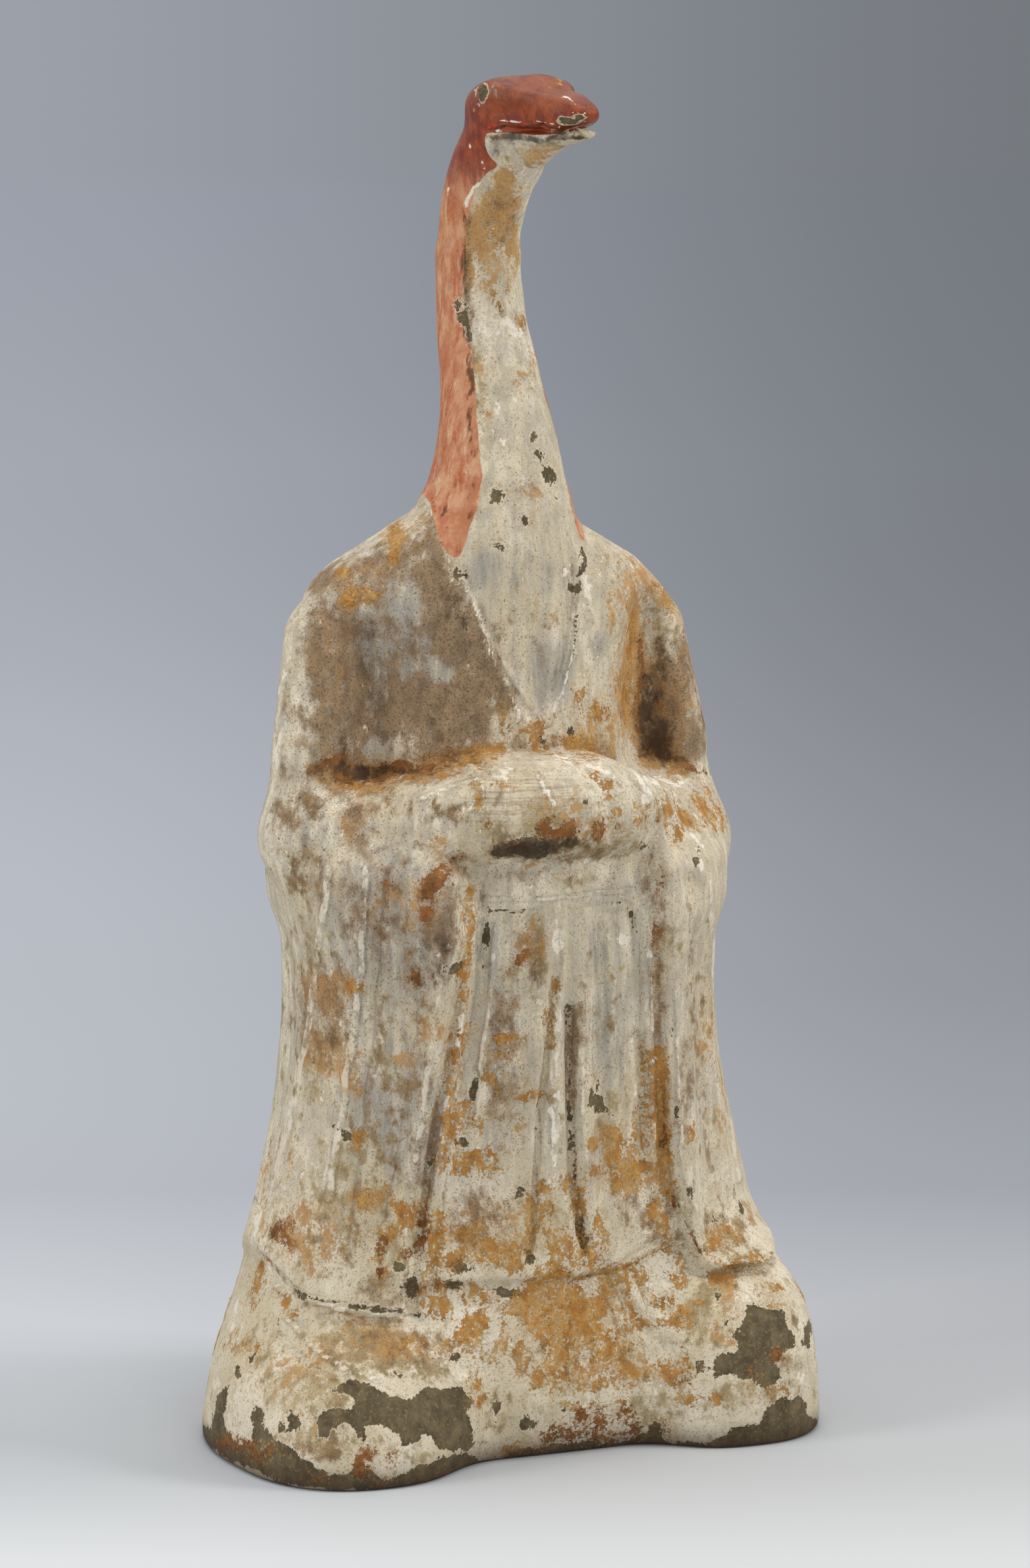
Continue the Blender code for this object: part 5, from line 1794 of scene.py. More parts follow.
# Brown film, which in the bottoms of the grooves is painted shade.
BROWN_FILM_AND_SHADE = Finish((146, 117, 82), (108, 82, 52), 0.86)
SPECK = Finish((100, 72, 44), (70, 50, 30), 0.9)
NECK_RED = Finish((202, 152, 114), (178, 112, 76), 0.72)
NECK_DEEP = Finish((188, 112, 70), (158, 84, 54), 0.72)
HEAD_RED = Finish((152, 68, 20), (110, 38, 10), 0.34)
HEAD_PINK = Finish((144, 78, 44), (114, 50, 24), 0.40)
CLAY = Finish((106, 94, 68), (78, 68, 46), 0.86)
CLAY_DUST = Finish((150, 124, 88), (118, 96, 64), 0.9)
RIM = Finish((226, 213, 186), (206, 188, 156), 0.8)
EARTH = Finish((208, 162, 90), (174, 120, 56), 0.95)
DEEP_EARTH = Finish((158, 110, 52), (120, 82, 38), 0.95)
RUSTY = Finish((172, 112, 54), (128, 80, 36), 0.92)
FRESH_RED = Finish((176, 58, 32), (126, 42, 26), 0.5)
SHADOW = Finish((74, 54, 34), (46, 34, 22), 0.9)
# Chalky white, also the colour of the painted highlights.
CHALKY_AND_HIGHLIGHT = Finish((238, 230, 214), (222, 211, 190), 0.88)


def linear(colour: Point) -> Point:
    """Turns a colour as seen into the light that gives it.

    Args:
        colour: The colour, on a scale to 255.

    Returns:
        Red, green and blue light on a scale to 1, with full cover.
    """
    share = np.asarray(colour, float) / 255
    light = np.where(share > 0.04045, ((share + 0.055) / 1.055) ** 2.4, share / 12.92)
    return (*light.tolist(), 1.0)


@dataclass(frozen=True)
class Sheet:
    """Lays nodes out in a tree and joins them."""

    tree: bpy.types.NodeTree

    def add(self, kind: str, inputs: dict, **settings: object) -> bpy.types.Node:
        """Adds a node.

        Args:
            kind: The node's type.
            inputs: A socket to join or a value to set, by input name or number.
            settings: The node's own settings.

        Returns:
            The node.
        """
        node = self.tree.nodes.new(kind)
        for name, value in settings.items():
            setattr(node, name, value)
        for name, value in inputs.items():
            if isinstance(value, bpy.types.NodeSocket):
                self.tree.links.new(value, node.inputs[name])
            else:
                node.inputs[name].default_value = value
        return node

    def math(self, operation: str, *values: object, clamp: bool = False) -> bpy.types.NodeSocket:
        """Adds a sum on one to three values and returns its result."""
        node = self.add("ShaderNodeMath", dict(enumerate(values)), operation=operation, use_clamp=clamp)
        return node.outputs[0]

    def mix(self, share: object, a: object, b: object) -> bpy.types.NodeSocket:
        """Mixes two colours and returns the result."""
        return self.add("ShaderNodeMix", {0: share, 6: a, 7: b}, data_type="RGBA").outputs[2]

    def blend(self, share: object, a: object, b: object) -> bpy.types.NodeSocket:
        """Mixes two values and returns the result."""
        return self.add("ShaderNodeMix", {0: share, 2: a, 3: b}, data_type="FLOAT").outputs[0]

    def rise(self, value: object, low: object, high: object) -> bpy.types.NodeSocket:
        """Rises smoothly from 0 at the low value to 1 at the high one."""
        inputs = {"Value": value, "From Min": low, "From Max": high}
        return self.add("ShaderNodeMapRange", inputs, interpolation_type="SMOOTHSTEP").outputs[0]

    def layer(self, layer: Layer) -> bpy.types.NodeSocket:
        """Reads a layer's attribute from the mesh."""
        return self.add("ShaderNodeAttribute", {}, attribute_name=layer.value).outputs["Fac"]

    def place(self, stretch: Point = (1.0, 1.0, 1.0)) -> bpy.types.NodeSocket:
        """Reads the place on the object.

        Args:
            stretch: How far each axis is drawn out.

        Returns:
            The place, in parts.
        """
        where = self.add("ShaderNodeTexCoord", {}).outputs["Object"]
        scale = tuple(1 / (PART * side) for side in stretch)
        return self.add("ShaderNodeMapping", {"Vector": where, "Scale": scale}).outputs[0]

    def group(self, tree: bpy.types.NodeTree, **values: object) -> bpy.types.Node:
        """Places a node group with its own values."""
        named = {name.replace("_", " ").capitalize(): value for name, value in values.items()}
        return self.add("ShaderNodeGroup", named, node_tree=tree)


def start_group(name: str, takes: dict[str, object], gives: dict[str, str]) -> tuple[Sheet, dict, object]:
    """Starts a shader node group.

    Args:
        name: The group's name.
        takes: First value of each input; four numbers make a colour.
        gives: Kind of each output, Float or Color.

    Returns:
        The sheet, the inputs' sockets by name and the node that takes the outputs.
    """
    tree = bpy.data.node_groups.new(name, "ShaderNodeTree")
    for label, value in takes.items():
        kind = "Color" if isinstance(value, tuple) else "Float"
        socket = tree.interface.new_socket(name=label, in_out="INPUT", socket_type="NodeSocket" + kind)
        socket.default_value = value
    for label, kind in gives.items():
        tree.interface.new_socket(name=label, in_out="OUTPUT", socket_type="NodeSocket" + kind)
    sheet = Sheet(tree)
    given = sheet.add("NodeGroupInput", {}).outputs
    return sheet, {label: given[label] for label in takes}, sheet.add("NodeGroupOutput", {})


class Effects:
    """Effects that several layers share, each a node group built once."""

    def __init__(self) -> None:
        """Builds the groups."""
        self.fields = self.random_fields()
        self.patch = self.ragged_patch()
        self.cover = self.grown_cover()
        self.pits = self.round_pits()

    @staticmethod
    def random_fields() -> bpy.types.NodeTree:
        """Builds three random values around 0.5, with lumps of one size drawn out upwards.

        Returns:
            The group's tree.
        """
        takes = {"Size": 3.0, "Upright": 1.0, "Detail": 5.0}
        gives = {"First": "Float", "Second": "Float", "Third": "Float"}
        sheet, given, out = start_group("random fields", takes, gives)
        squeeze = sheet.math("DIVIDE", 1.0, given["Upright"])
        tall = sheet.add("ShaderNodeCombineXYZ", {0: 1.0, 1: 1.0, 2: squeeze})
        drawn = {0: sheet.place(), 1: tall.outputs[0]}
        where = sheet.add("ShaderNodeVectorMath", drawn, operation="MULTIPLY").outputs[0]
        inputs = {"Vector": where, "Scale": sheet.math("DIVIDE", 1.0, given["Size"])}
        inputs.update({"Detail": given["Detail"], "Roughness": 0.65})
        noise = sheet.add("ShaderNodeTexNoise", inputs).outputs["Color"]
        parts = sheet.add("ShaderNodeSeparateColor", {0: noise}).outputs
        for name, part in zip(gives, parts):
            sheet.tree.links.new(part, out.inputs[name])
        return sheet.tree

    @staticmethod
    def ragged_patch() -> bpy.types.NodeTree:
        """Builds a patch with a broken edge and a rim, from the distance to its edge.

        Returns:
            The group's tree.
        """
        takes = {"Distance": 1.0, "Shake": 0.5, "Ragged": 0.5, "Soft": 0.08, "Rim": 0.4}
        sheet, given, out = start_group("ragged patch", takes, {"Mask": "Float", "Rim": "Float"})
        shake = sheet.math("SUBTRACT", given["Shake"], 0.5)
        shaken = sheet.math("MULTIPLY_ADD", shake, given["Ragged"], given["Distance"])
        low = sheet.math("MULTIPLY", given["Soft"], -1.0)
        masks = []
        for edge in (shaken, sheet.math("SUBTRACT", shaken, given["Rim"])):
            masks.append(sheet.math("SUBTRACT", 1.0, sheet.rise(edge, low, given["Soft"])))
        sheet.tree.links.new(masks[0], out.inputs["Mask"])
        rim = sheet.math("SUBTRACT", masks[1], masks[0], clamp=True)
        sheet.tree.links.new(rim, out.inputs["Rim"])
        return sheet.tree

    @staticmethod
    def grown_cover() -> bpy.types.NodeTree:
        """Builds a cover that grows from stray flecks to a whole film as its amount rises.

        Returns:
            The group's tree.
        """
        takes = {"Amount": 0.5, "Field": 0.5, "Needed": 0.66, "Gain": 0.36, "Soft": 0.05}
        sheet, given, out = start_group("grown cover", takes, {"Mask": "Float"})
        grown = sheet.math("MULTIPLY_ADD", given["Amount"], given["Gain"], given["Field"])
        high = sheet.math("ADD", given["Needed"], given["Soft"])
        sheet.tree.links.new(sheet.rise(grown, given["Needed"], high), out.inputs["Mask"])
        return sheet.tree

    @staticmethod
    def round_pits() -> bpy.types.NodeTree:
        """Builds small round pits, more and wider as their amount rises.

        Returns:
            The group's tree.
        """
        takes = {"Amount": 0.5, "Size": 2.0}
        sheet, given, out = start_group("round pits", takes, {"Mask": "Float"})
        scale = sheet.math("DIVIDE", 1.0, given["Size"])
        cells = sheet.add("ShaderNodeTexVoronoi", {"Vector": sheet.place(), "Scale": scale})
        chance = sheet.add("ShaderNodeSeparateColor", {0: cells.outputs["Color"]}).outputs[0]
        radius = sheet.math("MULTIPLY", sheet.math("SUBTRACT", given["Amount"], chance), 0.42)
        edge = sheet.math("MULTIPLY", radius, 0.5)
        inside = sheet.math("SUBTRACT", 1.0, sheet.rise(cells.outputs["Distance"], edge, radius))
        real = sheet.math("GREATER_THAN", radius, 0.02)
        sheet.tree.links.new(sheet.math("MULTIPLY", inside, real), out.inputs["Mask"])
        return sheet.tree


# The random fields' lumps: size in parts, how far they are drawn out upwards, and detail.
BIG_LUMPS = (15.0, 1.5, 4.0)
MIDDLE_LUMPS = (3.4, 1.3, 7.0)
STREAK_LUMPS = (2.4, 6.0, 6.0)
FINE_LUMPS = (0.75, 1.0, 4.0)
GRIT_LUMPS = (0.42, 1.0, 1.0)


@dataclass(frozen=True)
class Spread:
    """How a cover breaks up: what its field has to pass, what its amount takes off, its softness."""

    needed: float
    gain: float
    soft: float


THIN_SLIP = Spread(0.60, 0.2, 0.10)
SLIP_FLECKS = Spread(0.60, 0.2, 0.08)
WASH_CLOUDS = Spread(0.56, 0.30, 0.32)
OLIVE_CLOUDS = Spread(0.64, 0.32, 0.16)
STAIN_CLOUDS = Spread(0.66, 0.32, 0.10)
STAIN_FLECKS = Spread(0.64, 0.22, 0.06)
EARTH_FLECKS = Spread(0.76, 0.20, 0.03)
FILM_CLOUDS = Spread(0.56, 0.38, 0.26)
FILM_SPECKS = Spread(0.62, 0.10, 0.10)
DEEP_STREAKS = Spread(0.50, 0.1, 0.2)
WORN_STREAKS = Spread(0.60, 0.1, 0.08)
DIRT_ON_RED = Spread(0.66, 0.22, 0.08)
CHALK_AND_HIGHLIGHT_FLECKS = Spread(0.66, 0.28, 0.05)
DUST = Spread(0.60, 0.2, 0.05)
CLAY_FILM = Spread(0.62, 0.1, 0.14)
SOIL_HALO = Spread(0.58, 0.1, 0.12)
CRUST_GAPS = Spread(0.58, 0.17, 0.10)
CRUST_BLOTCHES = Spread(0.58, 0.1, 0.1)
SHADE = Spread(0.66, 0.45, 0.25)
CHALK_AND_HIGHLIGHT_DRIPS = Spread(0.80, 0.36, 0.08)
# How the painted highlights and painted shade along the fine ridges and grooves break up.
HIGHLIGHT_AND_SHADE_LINES = Spread(0.86, 0.4, 0.10)

# Amounts of the covers that follow no layer.
FEW = 0.3
SOME = 0.5

# Heights in parts between which the robe's veil, the head's gloss, the crown's pink and the painted
# shade at the floor rise, and the values of a field between which a colour turns from dark to light.
VEIL_STARTS = (44.0, 76.0)
HEAD_STARTS = (270.0, 284.0)
CROWN_STARTS = (291.0, 296.0)
PAINTED_FOOT_SHADE = (7.0, 0.0)
TONE_TURNS = (0.36, 0.64)

# Heights of bare clay and pits over the slip's face in parts. A crust stands out by the first of
# its numbers times a random field, and the second.
CLAY_SINKS = -0.16
PITS_SINK = -0.3
CRUST_RISES = (0.6, -0.15)

# Above this strength the chalk and its painted highlights run in drips.
DRIPS_START = 0.72


class Earthenware:
    """The figure's material: clay, slip, pigment, washes, stains and soil in layers, with painted shade in
    hollows and at the foot and painted highlights on edges and ridges.
    """

    def __init__(self, effects: Effects) -> None:
        """Starts the material and its random fields.

        Args:
            effects: The shared node groups.
        """
        self.effects = effects
        self.material = bpy.data.materials.new(SLOT)
        self.material.use_nodes = True
        self.sheet = Sheet(self.material.node_tree)
        self.shader = self.material.node_tree.nodes["Principled BSDF"]
        self.big = self.fields(*BIG_LUMPS)
        self.middle = self.fields(*MIDDLE_LUMPS)
        self.streaks = self.fields(*STREAK_LUMPS)
        self.fine = self.fields(*FINE_LUMPS)
        self.grit = self.fields(*GRIT_LUMPS)
        self.up = self.sheet.add("ShaderNodeSeparateXYZ", {0: self.sheet.place()}).outputs[2]
        self.head = self.sheet.rise(self.up, *HEAD_STARTS)
        self.colour = linear(SLIP.light)
        self.rough = SLIP.rough
        self.height = 0.0

    def fields(self, size: float, upright: float, detail: float) -> tuple:
        """Three random fields with lumps of one size."""
        values = {"size": size, "upright": upright, "detail": detail}
        return tuple(self.sheet.group(self.effects.fields, **values).outputs)

    def tone(self, finish: Finish, field: object) -> bpy.types.NodeSocket:
        """A finish's colour, wandering from dark to light with a field."""
        share = self.sheet.rise(field, *TONE_TURNS)
        return self.sheet.mix(share, linear(finish.dark), linear(finish.light))

    def lay(self, mask: object, finish: Finish, field: object, strength: float = 1.0) -> None:
        """Lays a finish over what is there.

        Args:
            mask: Where it lies, from 0 to 1.
            finish: The finish.
            field: The random field that its colour follows.
            strength: How much of it shows at the most.
        """
        if strength < 1:
            mask = self.sheet.math("MULTIPLY", mask, strength)
        self.colour = self.sheet.mix(mask, self.colour, self.tone(finish, field))
        self.rough = self.sheet.blend(mask, self.rough, finish.rough)

    def raise_by(self, mask: object, height: object) -> None:
        """Adds a height in parts where the mask is."""
        self.height = self.sheet.math("MULTIPLY_ADD", mask, height, self.height)

    def patch(self, layer: Layer, shake: object, ragged: float, soft: float, rim: float = 0.4) -> tuple:
        """Makes a patch with a broken edge.

        Args:
            layer: A layer with a crisp edge.
            shake: The random field that breaks the edge.
            ragged: How far the edge is broken, in parts.
            soft: How soft it is.
            rim: How wide the rim round it is.

        Returns:
            The masks of the patch and of its rim.
        """
        values = {"shake": shake, "ragged": ragged, "soft": soft, "rim": rim}
        group = self.sheet.group(self.effects.patch, distance=self.sheet.layer(layer), **values)
        return group.outputs["Mask"], group.outputs["Rim"]

    def cover(self, amount: object, field: object, spread: Spread) -> bpy.types.NodeSocket:
        """Makes a cover that grows with its amount.

        Args:
            amount: The amount, or the layer whose strength it is.
            field: The random field that breaks it up.
            spread: How it breaks up.

        Returns:
            The cover's mask.
        """
        if isinstance(amount, Layer):
            amount = self.sheet.layer(amount)
        values = {"amount": amount, "field": field, **vars(spread)}
        return self.sheet.group(self.effects.cover, **values).outputs[0]

    def slip(self) -> None:
        """White slip, worn thin in places."""
        self.colour = self.tone(SLIP, self.big[0])
        robed = self.sheet.rise(self.up, *VEIL_STARTS)
        veil = self.sheet.rise(self.streaks[2], *TONE_TURNS)
        robed = self.sheet.math("MULTIPLY_ADD", robed, 0.8, 0.2)
        self.lay(self.sheet.math("MULTIPLY", veil, robed), VEIL, self.middle[1], 0.65)
        self.lay(self.cover(FEW, self.middle[2], THIN_SLIP), WORN_SLIP, self.fine[0], 0.65)
        self.lay(self.cover(FEW, self.fine[1], SLIP_FLECKS), WORN_SLIP, self.middle[0], 0.6)

    def films(self) -> None:
        """Grey washes, olive film, ochre stain and brown film in the slip.

        Each row gives layer, field, how it breaks up, finish, the finish's field and strength.
        """
        middle, streaks, fine = self.middle, self.streaks, self.fine
        for layer, field, spread, finish, tint, strength in (
            (Layer.WASH, streaks[0], WASH_CLOUDS, WASHED, streaks[1], 0.75),
            (Layer.OLIVE, middle[1], OLIVE_CLOUDS, OLIVE_FILM, streaks[2], 0.85),
            (Layer.OCHRE, middle[0], STAIN_CLOUDS, STAIN, middle[1], 0.8),
            (Layer.OCHRE, fine[0], STAIN_FLECKS, STAIN, middle[2], 0.7),
            (Layer.OCHRE, middle[2], EARTH_FLECKS, EARTH, fine[1], 0.9),
            (Layer.GRIME, middle[1], FILM_CLOUDS, BROWN_FILM_AND_SHADE, middle[2], 0.85),
            (Layer.GRIME, self.grit[2], FILM_SPECKS, SPECK, middle[0], 0.6),
        ):
            self.lay(self.cover(layer, field, spread), finish, tint, strength)

    def pigment(self) -> None:
        """Red pigment, pink and worn on the neck, orange-brown and smoother on the head."""
        sheet = self.sheet
        mask, _ = self.patch(Layer.PAINT, self.middle[0], ragged=1.0, soft=0.10)
        head = self.head
        top = sheet.rise(self.up, *CROWN_STARTS)
        neck_tone = self.tone(NECK_RED, self.middle[1])
        streaked = self.cover(SOME, self.streaks[1], DEEP_STREAKS)
        neck_tone = sheet.mix(streaked, neck_tone, self.tone(NECK_DEEP, self.fine[0]))
        head_tone = sheet.mix(top, self.tone(HEAD_RED, self.middle[1]), self.tone(HEAD_PINK, self.middle[2]))
        colour = sheet.mix(head, neck_tone, head_tone)
        worn = self.cover(FEW, self.streaks[2], WORN_STREAKS)
        worn = sheet.math("MULTIPLY", worn, sheet.math("MULTIPLY_ADD", head, -0.35, 0.35))
        colour = sheet.mix(worn, colour, linear(SLIP.light))
        self.colour = sheet.mix(mask, self.colour, colour)
        self.rough = sheet.blend(mask, self.rough, sheet.blend(head, NECK_RED.rough, HEAD_RED.rough))
        stains = (Layer.WASH, WASHED, 0), (Layer.OCHRE, STAIN, 2), (Layer.GRIME, SPECK, 1)
        for layer, finish, field in stains:
            over = self.cover(layer, self.streaks[field], DIRT_ON_RED)
            self.lay(sheet.math("MULTIPLY", over, mask), finish, self.fine[field], 0.8)

    def crusts(self) -> None:
        """Bare clay in flaked patches, then soil, rust, raw pigment, dark dirt with painted shade in
        hollows, painted shade at the foot, and chalk with painted highlights.
        """
        sheet = self.sheet
        # Chalk flecks and painted highlights, in chalky white.
        self.lay(self.cover(Layer.CHALK, self.middle[2], CHALK_AND_HIGHLIGHT_FLECKS), CHALKY_AND_HIGHLIGHT, self.fine[0], 0.85)
        flaked = sheet.math("MULTIPLY_ADD", self.fine[2], 0.5, sheet.math("ADD", self.middle[0], -0.22))
        ragged = sheet.blend(self.head, 4.0, 1.2)
        bare, rim = self.patch(Layer.BARE, flaked, ragged, soft=0.07, rim=0.3)
        self.lay(rim, RIM, self.fine[1], 0.6)
        self.lay(bare, CLAY, self.middle[1])
        dust = self.cover(FEW, self.fine[2], DUST)
        self.lay(sheet.math("MULTIPLY", dust, bare), CLAY_DUST, self.fine[0], 0.5)
        film = self.cover(SOME, self.middle[1], CLAY_FILM)
        self.lay(sheet.math("MULTIPLY", film, bare), CLAY_DUST, self.middle[2], 0.45)
        self.raise_by(bare, CLAY_SINKS)
        shake = sheet.math("MULTIPLY_ADD", self.fine[0], 0.8, sheet.math("ADD", self.middle[2], -0.43))
        thin = sheet.rise(self.middle[0], 0.44, 0.60)
        soils = (Layer.SOIL, EARTH, DEEP_EARTH, 7.0), (Layer.RUST, RUSTY, SPECK, 5.0)
        for layer, finish, deep, ragged in soils:
            mask, round_it = self.patch(layer, shake, ragged, soft=0.16, rim=1.1)
            halo = self.cover(SOME, self.fine[1], SOIL_HALO)
            self.lay(sheet.math("MULTIPLY", halo, round_it), STAIN, self.middle[1], 0.75)
            gaps = self.cover(thin, self.fine[2], CRUST_GAPS)
            open_crust = sheet.math("MULTIPLY", gaps, 0.85)
            crust = sheet.math("MULTIPLY", mask, sheet.math("SUBTRACT", 1.0, open_crust))
            self.lay(crust, finish, self.middle[0])
            blotched = self.cover(SOME, self.middle[1], CRUST_BLOTCHES)
            self.lay(sheet.math("MULTIPLY", blotched, crust), deep, self.fine[1], 0.6)
            self.lay(sheet.math("MULTIPLY", dust, crust), deep, self.fine[1], 0.5)
            self.raise_by(crust, sheet.math("MULTIPLY_ADD", self.fine[0], *CRUST_RISES))
        raw, _ = self.patch(Layer.RAW, self.fine[0], ragged=1.0, soft=0.08)
        self.lay(raw, FRESH_RED, self.fine[1])
        # Painted shade in hollows, with dark dirt, in the shadow colour.
        self.lay(self.cover(Layer.DARK, self.middle[1], SHADE), SHADOW, self.middle[2], 0.85)
        # Painted contact shade, darker towards the floor.
        self.lay(sheet.rise(self.up, *PAINTED_FOOT_SHADE), SHADOW, self.middle[2], 0.75)
        # The strongest chalk and painted highlights run in drips.
        drips = sheet.math("GREATER_THAN", sheet.layer(Layer.CHALK), DRIPS_START)
        over = self.cover(Layer.CHALK, self.fine[2], CHALK_AND_HIGHLIGHT_DRIPS)
        self.lay(sheet.math("MULTIPLY", drips, over), CHALKY_AND_HIGHLIGHT, self.fine[1], 0.8)

    def lines(self) -> None:
        """Painted highlights along the crests of the fine ridges and painted shade along the bottoms of the
        grooves, which the bump also raises and sinks.
        """
        sheet = self.sheet
        # Crests get a painted highlight in chalky white, and groove bottoms get painted shade in brown film.
        for layer, finish, strength, height in (
            (Layer.RIDGE, CHALKY_AND_HIGHLIGHT, 0.6, 0.4), (Layer.GROOVE, BROWN_FILM_AND_SHADE, 0.6, -0.4),
        ):
            line = sheet.rise(sheet.layer(layer), 0.5, -0.4)
            worn = self.cover(line, self.middle[0], HIGHLIGHT_AND_SHADE_LINES)
            self.lay(worn, finish, self.fine[0], strength)
            self.raise_by(line, height)

    def grain(self) -> None:
        """Fine grain, pits and bristle lines."""
        sheet = self.sheet
        pitted = sheet.math("MULTIPLY_ADD", sheet.layer(Layer.PITTED), 0.60, 0.09)
        pits = sheet.group(self.effects.pits, amount=pitted, size=1.5).outputs[0]
        self.lay(pits, SPECK, self.middle[0], 0.65)
        self.raise_by(pits, PITS_SINK)
        self.raise_by(self.fine[1], 0.22)
        self.raise_by(self.middle[1], 0.40)
        where = sheet.place((14.0, 14.0, 0.45))
        inputs = {"Vector": where, "Scale": 1.0, "Detail": 4.0, "Roughness": 0.6}
        lines = sheet.add("ShaderNodeTexNoise", inputs).outputs[0]
        brushed = sheet.layer(Layer.BRUSHED)
        self.raise_by(sheet.math("MULTIPLY", brushed, lines), 0.35)
        self.lay(sheet.math("MULTIPLY", brushed, sheet.rise(lines, 0.48, 0.60)), BROWN_FILM_AND_SHADE, self.middle[2], 0.4)

    def build(self) -> bpy.types.Material:
        """Lays every layer.

        Returns:
            The material.
        """
        for step in (self.slip, self.films, self.pigment, self.lines, self.crusts, self.grain):
            step()
        tree = self.material.node_tree
        inputs = {"Height": self.height, "Distance": PART, "Strength": 1.0}
        bump = self.sheet.add("ShaderNodeBump", inputs)
        tree.links.new(self.colour, self.shader.inputs["Base Color"])
        tree.links.new(self.rough, self.shader.inputs["Roughness"])
        tree.links.new(bump.outputs[0], self.shader.inputs["Normal"])
        self.shader.inputs["Specular IOR Level"].default_value = 0.35
        return self.material


@dataclass
class Crumbs:
    """Loose crumbs of soil that cling where the crust lies. Density is to the square metre."""

    density: float = 90000.0
    crust_edge: float = -0.35
    smallest: float = 0.14
    largest: float = 0.42
    seed: int = 7

    def tree(self, material: bpy.types.Material) -> tuple[bpy.types.NodeTree, dict[str, str]]:
        """Builds the node tree.

        Args:
            material: The material of skin and crumbs.

        Returns:
            The tree and the identifier of each named input.
        """
        tree = bpy.data.node_groups.new("soil crumbs", "GeometryNodeTree")
        tree.interface.new_socket(name="Geometry", in_out="INPUT", socket_type="NodeSocketGeometry")
        names = {}
        for label, kind in (("Density", "Float"), ("Crust edge", "Float"), ("Seed", "Int")):
            socket = tree.interface.new_socket(name=label, in_out="INPUT", socket_type="NodeSocket" + kind)
            names[label] = socket.identifier
        tree.interface.new_socket(name="Geometry", in_out="OUTPUT", socket_type="NodeSocketGeometry")
        sheet = Sheet(tree)
        given = sheet.add("NodeGroupInput", {}).outputs
        soil = sheet.add("GeometryNodeInputNamedAttribute", {"Name": Layer.SOIL.value}, data_type="FLOAT")
        on_crust = sheet.math("LESS_THAN", soil.outputs[0], given["Crust edge"])
        scatter = {"Mesh": given["Geometry"], "Selection": on_crust, "Seed": given["Seed"]}
        scatter["Density"] = given["Density"]
        points = sheet.add("GeometryNodeDistributePointsOnFaces", scatter)
        ball = sheet.add("GeometryNodeMeshIcoSphere", {"Radius": PART, "Subdivisions": 1})
        low, high = (0.7, 0.7, 0.5), (1.3, 1.3, 0.9)
        drawn = sheet.add("FunctionNodeRandomValue", {0: low, 1: high}, data_type="FLOAT_VECTOR")
        sizes = {2: self.smallest, 3: self.largest, "Seed": given["Seed"]}
        size = sheet.add("FunctionNodeRandomValue", sizes, data_type="FLOAT")
        scales = {0: drawn.outputs[0], "Scale": size.outputs[1]}
        scale = sheet.add("ShaderNodeVectorMath", scales, operation="SCALE")
        laid = {"Points": points.outputs[0], "Instance": ball.outputs[0], "Scale": scale.outputs[0]}
        laid["Rotation"] = points.outputs["Rotation"]
        placed = sheet.add("GeometryNodeInstanceOnPoints", laid)
        real = sheet.add("GeometryNodeRealizeInstances", {"Geometry": placed.outputs[0]})
        joined = sheet.add("GeometryNodeJoinGeometry", {})
        for part in (real.outputs[0], given["Geometry"]):
            tree.links.new(part, joined.inputs[0])
        dressed = {"Geometry": joined.outputs[0], "Material": material}
        dressed = sheet.add("GeometryNodeSetMaterial", dressed)
        sheet.add("NodeGroupOutput", {"Geometry": dressed.outputs[0]})
        return tree, names

    def scatter(self, holder: bpy.types.Object, material: bpy.types.Material) -> None:
        """Adds the crumbs to a piece and makes it a plain mesh again.

        Args:
            holder: The piece, whose mesh carries the soil attribute.
            material: The material of skin and crumbs.
        """
        tree, names = self.tree(material)
        modifier = holder.modifiers.new("soil crumbs", "NODES")
        modifier.node_group = tree
        values = {"Density": self.density, "Crust edge": self.crust_edge, "Seed": self.seed}
        for label, value in values.items():
            modifier[names[label]] = value
        bpy.context.view_layer.update()
        whole = holder.evaluated_get(bpy.context.evaluated_depsgraph_get())
        mesh = bpy.data.meshes.new_from_object(whole)
        holder.modifiers.remove(modifier)
        places = np.zeros(len(mesh.vertices) * 3, np.float32)
        mesh.vertices.foreach_get("co", places)
        inside = np.clip(places.reshape(-1, 3), *(np.array(corner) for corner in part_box(NODE)))
        mesh.vertices.foreach_set("co", inside.astype(np.float32).ravel())
        holder.data = mesh


